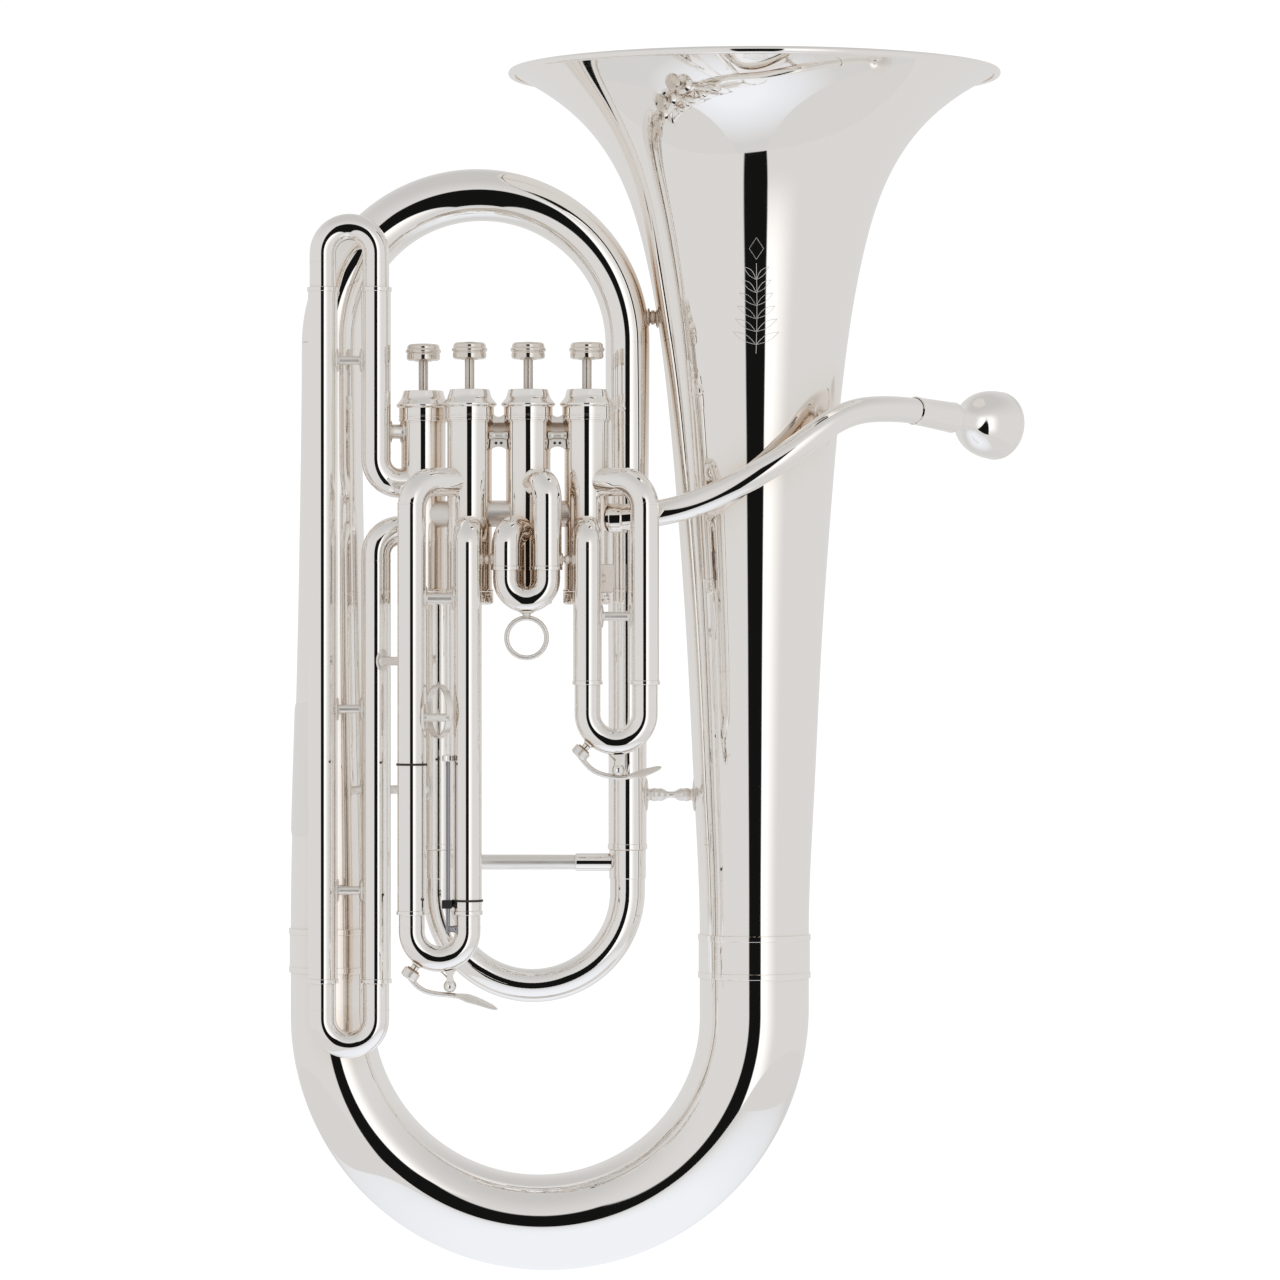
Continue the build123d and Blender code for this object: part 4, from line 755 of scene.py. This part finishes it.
def tube_braces():
    shape = Shape()
    for z in (217, 319, 515):
        brace(shape, (FOURTH_LEFT, FOURTH_Y, z), (FOURTH_RIGHT, FOURTH_Y, z), FOURTH_OUTER, FOURTH_OUTER)
    brace(shape, (THIRD[0], FRONT_Y, 381), (THIRD[1], FRONT_Y, 381), OUTER, OUTER,
          ((0, 3.4), (0.04, 3.4), (0.08, 3.0), (0.92, 3.0), (0.96, 3.4), (1, 3.4)))
    brace(shape, (FIRST[0], FRONT_Y, 371), (FIRST[1], FRONT_Y, 371), OUTER, OUTER)
    ball = ((0, 1.6), (0.25, 1.4), (0.36, 2.3), (0.5, 2.8), (0.64, 2.3), (0.75, 1.4), (1, 1.6))
    for left, right in ((THIRD[1], SECOND[0]), (SECOND[1], FIRST[0])):
        brace(shape, (left, FRONT_Y, 402.6), (right, FRONT_Y, 402.6), OUTER, OUTER, ball, (3.0, 3.6))
    brace(shape, (FOURTH_RIGHT, FOURTH_Y, 346), (THIRD[0], FRONT_Y, 346), FOURTH_OUTER, OUTER)
    brace(shape, (FOURTH_RIGHT, FOURTH_Y, LOW_BRACE_Z), (TUNING_LEFT, 0, LOW_BRACE_Z), FOURTH_OUTER,
          TUNING_OUTER[1])
    brace(shape, (FOURTH_LEFT, FOURTH_Y, LOW_BRACE_Z), (BRANCH_X, 0, LOW_BRACE_Z), FOURTH_OUTER, 21.4)
    shape.piece("tube_braces", "horn", SATIN_SILVER, replaces=["tubing_braces"])
    guide = Shape()
    guide.slab(eased([(-3.0, -2.4), (2.6, -2.4), (2.6, 2.4), (-3.0, 2.4)], 0.6, 3), (-51.9, -73.6, 211.0),
               X_WAY, UP, 4.4, 0.4)
    guide.bar((THIRD[1] - OUTER + 0.4, FRONT_Y - 1.0, 211.0), (-50.0, -73.2, 211.0),
              ((0, 2.1), (0.3, 1.8), (1, 1.8)))
    guide.piece("stop_rod_guide", "horn", DARK_METAL)


def casing_plates():
    """Bridges between neighbouring casings: a web, a round tie bar and a plate with two near-black discs,
    painted shade of its screw holes.
    """
    web, tie, hole_shade_discs = Shape(), Shape(), Shape()
    lean = Vector((0, 0.26, 1)).normalized()
    for (x1, y), (x2, _) in zip(CASINGS[:2], CASINGS[1:3]):
        middle = (x1 + x2) / 2
        top_web = [(-3.4, -2.6), (3.4, -2.6), (3.6, 2.6), (1.6, 1.2), (0, 0.7), (-1.6, 1.2), (-3.6, 2.6)]
        web.slab(eased(top_web, 0.7, 4), (middle, y - 4.6, 481.6), X_WAY, lean, 2.2, 0.3)
        back = [(-4.6, -4.6), (4.6, -4.6), (4.6, 4.6), (-4.6, 4.6)]
        web.slab(back, (middle, y - 0.5, 476.0), X_WAY, lean, 1.8)
        plate = [(-4.6, 2.6), (4.6, 2.6), (4.9, -3.6), (3.2, -2.4), (1.6, -1.7), (0, -1.5), (-1.6, -1.7),
                 (-3.2, -2.4), (-4.9, -3.6)]
        web.slab(eased(plate, 0.6, 4), (middle, y - 5.0, 467.6), X_WAY, lean, 2.0, 0.3)
        tie.bar((middle - 5.2, y - 4.6, 472.2), (middle + 5.2, y - 4.6, 472.2),
                ((0, 2.6), (0.18, 2.5), (0.3, 2.1), (0.7, 2.1), (0.82, 2.5), (1, 2.6)))
        # Painted shade: two near-black domed discs stand for the dark screw holes in the plate.
        for side in (-1, 1):
            hole_shade_discs.lathe([(0.05, 0), (0.75, 0), (0.8, 0.2), (0.05, 0.3)],
                       (middle + side * 1.45, y - 6.0, 467.9), -Y_WAY, 20, closed=False)
    fourth_x, fourth_y = CASINGS[3]
    brace(tie, (FOURTH_RIGHT, FOURTH_Y, 475), (fourth_x, fourth_y, 475), FOURTH_OUTER, CASING_RADIUS,
          ((0, 4.4), (0.2, 4.0), (0.8, 4.0), (1, 4.4)), (4.8, 6.4))
    web.piece("casing_bridges", "horn", SATIN_SILVER, replaces=["casing_braces"])
    tie.piece("casing_ties", "horn", SATIN_SILVER)
    hole_shade_discs.piece("bridge_hole_shades", "horn", DARK_METAL)


def bell_stays():
    """Turned lower stay, ball-shaped upper stay and the leadpipe's short stay on the bell."""
    shape = Shape()
    low_z, high_z = 270.0, 541.0
    start, end = TUNING_RIGHT + TUNING_OUTER[0], BELL_X - bell_radius(low_z)
    turned = ((0, 3.6), (0.05, 3.7), (0.09, 3.1), (0.13, 3.6), (0.18, 3.9), (0.24, 3.4), (0.3, 3.7),
              (0.36, 3.2), (0.42, 2.2), (0.46, 1.8), (0.56, 1.8), (0.6, 2.2), (0.66, 3.1), (0.71, 3.7),
              (0.76, 3.4), (0.82, 3.9), (0.87, 3.6), (0.91, 3.1), (0.95, 3.7), (1, 3.6))
    shape.bar((start - 0.4, 0, low_z), (end + 0.4, 0, low_z), turned, 40)
    shape.pad((TUNING_RIGHT, 0, low_z), TUNING_OUTER[0], X_WAY, 5.2, 9.5)
    shape.pad((BELL_X, 0, low_z), bell_radius(low_z), -X_WAY, 5.2, 9.5)
    start, end = TOP_STAY_X, BELL_X - bell_radius(high_z)
    ball = ((0, 2.6), (0.08, 2.8), (0.16, 2.0), (0.24, 3.0), (0.38, 4.0), (0.5, 4.3), (0.62, 4.0),
            (0.76, 3.0), (0.84, 2.0), (0.92, 2.8), (1, 2.6))
    shape.bar((start - 0.5, 0, high_z), (end + 0.5, 0, high_z), ball, 40)
    shape.pad((BELL_X, 0, high_z), bell_radius(high_z) - 0.3, -X_WAY, 4.4, 6.0, 1.4)
    shape.pad((TOP_STAY_X - 12.4, 0, high_z), 12.4, X_WAY, 4.2, 5.4)
    pipe = Vector((169.7, -42.8, 484.6))
    bell_side = Vector((BELL_X, 0, pipe.z))
    way = (pipe - bell_side).normalized()
    radius = bell_radius(pipe.z)
    shape.bar(bell_side + way * (radius - 0.5), pipe - way * 6.4,
              ((0, 3.0), (0.1, 3.1), (0.25, 2.5), (0.75, 2.5), (0.9, 3.1), (1, 3.4)))
    shape.pad(bell_side, radius, way, 5.4, 8.6)
    shape.piece("bell_stays", "horn", SATIN_SILVER, replaces=["bell_braces"])


tube_braces()
casing_plates()
bell_stays()


def tuning_bar():
    """Thick rod across the tuning slide with a wider turned sleeve at its right end."""
    low, high = span("tuning_brace")
    z = (low.z + high.z) / 2
    left, right, step = TUNING_LEFT + TUNING_INNER[1], TUNING_RIGHT - TUNING_INNER[0], 18.5
    Shape().bar((left - 0.5, 0, z), (step + 0.6, 0, z), ((0, 4.3), (0.5, 4.25), (1, 4.2)), 48).piece(
        "tuning_cross_bar", "tuning_slide", SATIN_SILVER, replaces=["tuning_brace"])
    sleeve = ((0, 4.1), (0.0, 4.9), (0.02, 5.05), (1, 5.05))
    Shape().bar((step, 0, z), (right + 0.5, 0, z), sleeve, 48).piece(
        "tuning_bar_sleeve", "tuning_slide", SILVER)


def stop_rod():
    """Third slide's stop rod with a knurled nut at its top end."""
    low, high = span("third_stop_rod")
    x, y, radius = -51.6, -73.5, 1.2
    shape = Shape()
    shape.lathe([(0.05, low.z), (radius, low.z), (radius, high.z), (0.05, high.z)], (x, y, 0), segments=28,
                closed=False)
    shape.bar((THIRD[1] - 6.6, FRONT_Y - 1.4, low.z + 2.4), (x, y, low.z + 2.4),
              ((0, 2.4), (0.3, 1.8), (0.7, 1.8), (1, 2.1)))
    shape.piece("stop_rod", "third_slide", ROD_STEEL, replaces=["third_stop_rod"])
    nut = ((0.3, high.z - 3.6), (2.8, high.z - 3.6), (3.1, high.z - 3.2), (3.1, high.z - 0.5),
           (2.8, high.z - 0.1), (0.3, high.z - 0.1))
    Shape().knurled(nut, x, y, 40, 0.22, lambda size, _: size > 3, wrap=False).piece(
        "stop_rod_nut", "third_slide", WORN_SILVER, sharp=25)


tuning_bar()
stop_rod()

# ---- water keys

def keyed_bow(name, legs, bow_z, angle, pivot):
    """Return bow of a slide with its drain nipple and the saddle that carries the water key's pin, and that
    key's screw and wire spring."""
    body = f"{name}_slide"
    left, right = legs[:2]
    centre = Vector(((left + right) / 2, FRONT_Y, bow_z))
    top = span(f"{name}_slide_bow")[1].z
    path = [Vector((left, FRONT_Y, top))] + arc(centre, (right - left) / 2, 180, 360, 73) + [
        Vector((right, FRONT_Y, top))]
    shape = Shape().tube(path, INNER, 0.6, 64)
    way = front_way(angle)
    reach = (right - left) / 2 + INNER
    shape.lathe([(1.3, -0.9), (3.4, -0.6), (2.9, 0.3), (2.3, 0.9), (2.2, 3.0), (1.9, 3.1), (1.3, 3.1)],
                centre + way * reach, way, 36)
    under = bow_z - reach
    x, _, z = pivot
    cheek = [(3.4, under + 1.6 - z), (2.3, under - 0.4 - z), (1.6, under - 2.2 - z), (2.0, 2.6), (2.7, 1.2),
             (2.9, 0), (2.4, -1.6), (1.2, -2.6)]
    cheek += [(-across, up) for across, up in cheek[::-1]]
    for side in (-1, 1):
        lean = Vector((0, -side * 0.3, 1)).normalized()
        shape.slab(cheek, (x, FRONT_Y + side * 4.2, z), X_WAY, lean, 1.3, 0.35)
    shape.piece(f"{name}_slide_return_bow", body, SILVER, replaces=[f"{name}_slide_bow"])
    pivot = Vector(pivot)
    screw = [(0.05, 5.1), (0.4, 5.1), (0.4, 5.45), (1.2, 5.6), (2.2, 5.2), (2.5, 4.6), (2.5, 3.6),
             (1.3, 3.4), (1.3, -5.2), (0.05, -5.3)]
    Shape().lathe(screw, pivot, -Y_WAY, 32, closed=False).piece(f"{name}_key_screw", body, WORN_SILVER)
    turns, wound = 4, 3.1
    coil = [pivot + Y_WAY * (2.6 * t - 2.6) + front_way(360 * turns * t) * wound
            for t in np.linspace(0, 1, 110)]
    foot = Vector((x - 5.5, pivot.y, under + 0.7))
    coil += [coil[-1].lerp(foot, share) for share in (0.35, 0.7, 1.0)]
    Shape().tube(coil, 0.45, segments=10).piece(f"{name}_key_spring", body, SPRING_WIRE, "spring_wire")


def water_key(name, legs, bow_z, angle, pivot, touch_width, lever):
    """Cup over its nipple, arched lever and a leaf-shaped touch tipped towards the front."""
    way = front_way(angle)
    reach = (legs[1] - legs[0]) / 2 + INNER + 3.2
    seat = Vector(((legs[0] + legs[1]) / 2, FRONT_Y, bow_z)) + way * reach
    cup = [(3.9, 0.7), (4.6, 0.7), (4.9, 1.0), (4.9, 4.6), (4.6, 5.3), (3.4, 5.9), (0.05, 6.0), (0.05, 2.8),
           (3.9, 2.8)]
    shape = Shape().lathe(cup, seat, way, 48, closed=False)
    start = seat + way * 4.6
    curve = smooth_curve([(start.x, start.z), *lever], 10)
    rings, count, fore = [], len(curve), -Y_WAY
    for i, (x, z) in enumerate(curve):
        ahead, behind = curve[min(i + 1, count - 1)], curve[max(i - 1, 0)]
        along = Vector((ahead[0] - behind[0], 0, ahead[1] - behind[1])).normalized()
        up = along.cross(fore) * -1
        if up.z < 0:
            up = -up
        leaf = max(0.0, (i / (count - 1) - 0.58) / 0.42)
        swell = sin(pi * min(1.0, leaf * 0.94 + 0.06) ** 0.8) ** 0.7 if leaf else 0.0
        half_width = 1.8 + (touch_width - 1.8) * swell - 1.2 * max(0, leaf - 0.9) * 10
        half_thick = 1.45 * (1 - leaf) + 0.5 * leaf
        roll = 0.42 * min(1, leaf * 3)
        wide = fore * cos(roll) - up * sin(roll)
        tall = up * cos(roll) + fore * sin(roll)
        half_width = max(half_width, 0.4)
        rings.append([Vector((x, FRONT_Y, z)) + wide * half_width * cos(a) + tall * half_thick * sin(a)
                      for a in np.linspace(0, 2 * pi, 24, endpoint=False)])
    shape.skin(rings)
    barrel = [(1.35, -2.9), (2.9, -2.9), (3.1, -2.5), (2.6, -1.9), (2.6, 1.9), (3.1, 2.5), (2.9, 2.9),
              (1.35, 2.9)]
    shape.lathe(barrel, pivot, Y_WAY, 36)
    shape.piece(f"{name}_key_lever", f"{name}_key", SATIN_SILVER, replaces=[f"{name}_water_key"])


# Slide, legs, height of the bow's centre, drain's direction, pivot, half width of the touch, lever's line.
WATER_KEYS = (
    ("first", FIRST, 317.0, 228.0, (43.1, FRONT_Y, 285.5), 4.6,
     [(30.0, 284.8), (37.5, 282.2), (44.0, 281.4), (52.0, 282.6), (60.0, 284.8), (67.0, 287.2)]),
    ("third", THIRD, 196.0, 236.0, (-50.5, FRONT_Y, 165.5), 4.8,
     [(-66.0, 163.4), (-59.0, 161.2), (-51.5, 160.4), (-44.0, 159.4), (-35.0, 156.8), (-24.2, 152.4)]))
for *key, touch_width, lever in WATER_KEYS:
    keyed_bow(*key)
    water_key(*key, touch_width, lever)

# ---- leadpipe, receiver and mouthpiece

def softened(path, rounds):
    """The same path with its curvature evened out; its ends stay put."""
    for _ in range(rounds):
        path = [path[0]] + [(a + b * 2 + c) / 4 for a, b, c in zip(path, path[1:], path[2:])] + [path[-1]]
    return path


def spaced(path, step):
    """Points at an even spacing along a path."""
    points = np.array([tuple(p) for p in path])
    along = np.concatenate([[0], np.cumsum(np.linalg.norm(np.diff(points, axis=0), axis=1))])
    even = np.linspace(0, along[-1], max(2, int(along[-1] / step)))
    return [Vector([float(np.interp(s, along, points[:, k])) for k in range(3)]) for s in even]


MOUTH_TURN, MOUTH_DIP = radians(48), radians(5)
MOUTH_WAY = Vector((cos(MOUTH_TURN) * cos(MOUTH_DIP), sin(MOUTH_TURN) * cos(MOUTH_DIP), -sin(MOUTH_DIP)))
PIPE_END = Vector((205, -14, 488.5))
RECEIVER_START = PIPE_END + MOUTH_WAY * 8.0
PIPE_RADIUS = 7.3


def leadpipe():
    first_x, first_y = CASINGS[0]
    corners = ((first_x + 4.7, first_y, 425.6), (75, -47.5, 428), (128, -59, 453), (171, -45, 487.5),
               PIPE_END, RECEIVER_START + MOUTH_WAY * 9)
    path = softened(spaced(route(corners, (105, 100, 40, 50)), 1.5), 120)
    path = [p for p in path if (p - Vector((first_x, first_y, p.z))).length > CASING_RADIUS + 0.3]
    Shape().tube(path, PIPE_RADIUS, 0.7, 64, on=(first_x, first_y, CASING_RADIUS + 0.1)).piece(
        "leadpipe_tube", "horn", SILVER, replaces=["leadpipe"])
    collar = [Vector((first_x + out, first_y - 0.06 * out / 50, 425.7 + 0.03 * out))
              for out in np.linspace(12.0, 19.5, 6)]
    Shape().tube(collar, (8.2, 8.4, 8.3, 8.3, 8.4, 8.1), segments=56).piece(
        "leadpipe_collar", "horn", SILVER)


def receiver():
    outline = [(7.35, 0.2), (7.9, 0.2), (8.15, 0.7), (8.0, 1.3), (7.95, 2.0), (8.05, 10), (8.35, 22),
               (8.6, 31.5), (8.55, 33.0), (8.75, 33.5), (8.8, 34.4), (8.5, 35.4), (7.7, 36.0), (6.75, 36.0),
               (5.9, 12), (7.35, 10)]
    Shape().lathe(outline, RECEIVER_START, MOUTH_WAY, 72).piece(
        "receiver_sleeve", "horn", SILVER, replaces=["mouthpiece_receiver"])


def mouthpiece():
    """Turned cup mouthpiece: tapered shank, bowl, soft rim, cup and throat."""
    start = RECEIVER_START + MOUTH_WAY * 36.0
    body = smooth_curve([(6.55, 1.0), (6.65, 5.5), (7.4, 9.0), (9.6, 12.8), (13.6, 17.2), (17.2, 23.2),
                         (19.1, 30.5), (19.55, 36.5)], 8, (0.02, 1), (0.0, 1))
    rim = [(19.55, 37.2), (19.35, 37.7), (19.6, 38.3), (19.7, 39.4), (19.35, 40.7), (18.4, 41.6),
           (17.0, 42.0), (15.6, 41.9), (14.2, 41.2), (13.3, 40.2), (12.8, 38.8)]
    cup = smooth_curve([(12.7, 38.0), (12.0, 31), (10.0, 24.5), (6.4, 18.0), (3.6, 14.0), (3.3, 12.0)], 6)
    outline = [(4.75, -24), (5.6, -24), *map(tuple, body), *rim, *map(tuple, cup)]
    Shape().lathe(outline, start, MOUTH_WAY, 128).piece(
        "cup_mouthpiece", "mouthpiece", SILVER, replaces=["mouthpiece"], sharp=40)


leadpipe()
receiver()
mouthpiece()

# ---- guards and ornament

def wear_guard():
    """Thin plate that guards the branch where the player holds it."""
    low_z, high_z, half_angle, thick = 247.0, 322.0, 62, 0.7
    heights = np.linspace(low_z, high_z, 24)
    rings = []
    for angle in np.linspace(180 - half_angle, 180 + half_angle, 48):
        a = radians(angle)
        edge = min(1.0, (half_angle - abs(angle - 180)) / 4 + 0.15)
        section = []
        for side in (1, -1):
            for z in heights[::side]:
                end = min(1.0, min(z - low_z, high_z - z) / 1.2 + 0.25)
                r = branch_radius(z) + (thick * edge * end if side > 0 else -0.2)
                section.append(Vector((BRANCH_X + r * cos(a), r * sin(a), z)))
        rings.append(section)
    shape = Shape()
    shape.skin(rings)
    shape.piece("branch_wear_guard", "horn", WORN_SILVER)


def music_clip_plate():
    """Small pale plate beside the first slide's left leg, where a music holder clips on."""
    shape = Shape()
    across, lean = Vector((1, 0.14, 0)).normalized(), Vector((0, 0.22, 1)).normalized()
    plate = eased([(-4.6, -8.2), (3.6, -8.2), (4.8, -5.0), (4.8, 8.2), (-4.6, 8.2)], 1.4, 4)
    shape.slab(plate, (36.0, -62.5, 392.0), across, lean, 2.0, 0.5)
    shape.bar((31.0, -64.5, 392.0), (35.0, -62.5, 392.0), ((0, 2.4), (1, 2.4)))
    shape.piece("music_clip_plate", "horn", SATIN_SILVER)


def ornament():
    """Engraved sprig on the front of the bell: a stem with paired leaves under a small lozenge."""
    shape, raise_by, line_radius = Shape(), 12, 0.13

    def line(points):
        path = []
        for across, z in smooth_curve(points, 10):
            z += raise_by
            size = bell_radius(z)
            angle = across / size - pi / 2
            path.append(Vector((BELL_X + size * cos(angle), size * sin(angle), z)))
        shape.tube(path, line_radius, segments=8)

    line([(0, 506), (0.4, 530), (0, 556)])
    for level in range(6):
        z, size = 511 + 7.2 * level, 13.0 - 1.2 * level
        for side in (-1, 1):
            line([(0.2 * side, z), (side * size * 0.55, z + 2.2), (side * size, z + 7.0)])
            line([(0.2 * side, z), (side * size * 0.45, z + 5.4), (side * size, z + 7.0)])
    for side in (-1, 1):
        line([(0, 558), (side * 4.0, 564)])
        line([(side * 4.0, 564), (0, 570)])
    shape.piece("bell_ornament", "horn", ENGRAVED, "bell_silver")


wear_guard()
music_clip_plate()
ornament()

# ---- materials of the CAD nodes

NODE_MATERIALS = {"valve_passages": SATIN_SILVER, "brace": SATIN_SILVER, "valve_spring": SPRING_WIRE,
                  "piston": PISTON_ALLOY, "key_cork": CORK, "bumper_rings": RUBBER}
for name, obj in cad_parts.items():
    chosen = next((m for part, m in NODE_MATERIALS.items() if part in name), SILVER)
    obj.data.materials.clear()
    obj.data.materials.append(chosen)

# ---- stage, light and camera

def camera_sees_white(tree, kind, reflected, out):
    """Shows plain white to the camera, and the reflected shader to everything else."""
    seen = add_node(tree, kind, Color=(1, 1, 1, 1), Strength=1.05)
    mix = add_node(tree, "MixShader", Fac=add_node(tree, "LightPath").outputs["Is Camera Ray"])
    tree.links.new(reflected.outputs[0], mix.inputs[1])
    tree.links.new(seen.outputs[0], mix.inputs[2])
    add_node(tree, out, Surface=mix.outputs[0])


def world_light():
    """White studio tent, seen by reflections: pale grey walls, a dark gap where the camera stands and a
    bright edge beside it."""
    world = bpy.data.worlds.new("studio_tent")
    scene.world = world
    world.use_nodes = True
    tree = world.node_tree
    tree.nodes.clear()
    coords = add_node(tree, "TexCoord")
    way = add_node(tree, "SeparateXYZ", Vector=coords.outputs["Generated"])

    def calc(operation, *terms):
        return arithmetic(tree, operation, *terms)

    def above(value, edge, width):
        step = add_node(tree, "MapRange", Value=value, From_Min=edge - width, From_Max=edge + width)
        step.interpolation_type = "SMOOTHSTEP"
        return step.outputs["Result"]

    def below(value, edge, width):
        return calc("SUBTRACT", 1.0, above(value, edge, width))

    # Directions in degrees: azimuth from the camera's side towards +X, elevation up from the horizon.
    front = calc("MULTIPLY", way.outputs["Y"], -1.0)
    azimuth = calc("MULTIPLY", calc("ARCTAN2", way.outputs["X"], front), 180 / pi)
    elevation = calc("MULTIPLY", calc("ARCSINE", way.outputs["Z"]), 180 / pi)
    inside = calc("MULTIPLY", above(azimuth, -12.0, 1.0), below(azimuth, 12.5, 0.8))
    gap = calc("MULTIPLY", inside, below(elevation, 21.0, 1.5))
    bright = calc("MULTIPLY", above(azimuth, 11.0, 1.0), below(azimuth, 32.0, 16.0))
    facing = calc("MULTIPLY", above(elevation, -30.0, 16.0), below(elevation, 24.0, 14.0))
    walls = calc("MULTIPLY_ADD", calc("MULTIPLY", bright, facing), 0.42, 0.715)
    dimmed = calc("MULTIPLY_ADD", above(elevation, 42.0, 26.0), -0.13, walls)
    strength = calc("MULTIPLY", dimmed, calc("SUBTRACT", 1.0, calc("MULTIPLY", gap, 0.99)))
    tent = add_node(tree, "Background", Color=(1.0, 0.992, 0.985, 1), Strength=strength)
    camera_sees_white(tree, "Background", tent, "OutputWorld")


def floor_material():
    """Reflections see the floor's emission: a painted pool of light in its middle, on a strip that narrows
    towards the camera, and plain grey beside that strip."""
    material, tree, _, _ = new_material("pale_floor")
    tree.nodes.clear()
    place = add_node(tree, "TexCoord").outputs["Object"]
    reach = add_node(tree, "VectorMath")
    reach.operation = "LENGTH"
    centred = add_node(tree, "Mapping", Vector=place, Location=(-0.04, 0.05, 0))
    tree.links.new(centred.outputs["Vector"], reach.inputs[0])
    # Painted light: the emitted colour is brightest round the middle and fades outwards, standing in for the
    # floor being lit.
    painted_light_pool = ramp(tree, ((0.10, (0.90, 0.93, 0.99)), (0.26, (0.80, 0.82, 0.86)), (0.42, (0.67, 0.67, 0.67))),
               reach.outputs["Value"])
    across = add_node(tree, "SeparateXYZ", Vector=place)
    half_width = arithmetic(tree, "MULTIPLY_ADD", across.outputs["Y"], 0.27, 0.28)
    on_strip = arithmetic(tree, "COMPARE", across.outputs["X"], 0.08, half_width)
    sheet = add_node(tree, "Mix")
    sheet.data_type = "RGBA"
    set_inputs(tree, sheet, Factor=on_strip, A=(0.69, 0.685, 0.68, 1), B=painted_light_pool)
    reflected = add_node(tree, "Emission", Color=sheet.outputs["Result"])
    camera_sees_white(tree, "Emission", reflected, "OutputMaterial")
    return material


def studio_floor():
    """Round floor under the instrument."""
    radius, segments, middle = 700.0, 96, Vector((55, 150, -22.0))
    shape = Shape()
    shape.skin([[middle + X_WAY * radius * share * cos(a) + Y_WAY * radius * share * sin(a)
                 for a in np.linspace(0, 2 * pi, segments, endpoint=False)]
                for share in (1.0, 0.5, 0.02)], cap=False)
    mesh = bpy.data.meshes.new("floor")
    mesh.from_pydata([p * MM for p in shape.points], [], shape.faces)
    mesh.materials.append(floor_material())
    floor = bpy.data.objects.new("floor", mesh)
    scene.collection.objects.link(floor)


def camera():
    """Long lens, level with the middle of the instrument."""
    distance, sensor = 3320.0, 36.0
    half_view = 363.5
    data = bpy.data.cameras.new("camera")
    data.sensor_width = sensor
    data.lens = sensor * distance / (2 * half_view)
    data.clip_end = 20
    obj = bpy.data.objects.new("camera", data)
    obj.location = Vector((55.1, -distance, 357.8)) * MM
    obj.rotation_euler = (pi / 2, 0, 0)
    scene.collection.objects.link(obj)
    scene.camera = obj


scene.view_settings.view_transform = "Standard"
world_light()
studio_floor()
camera()
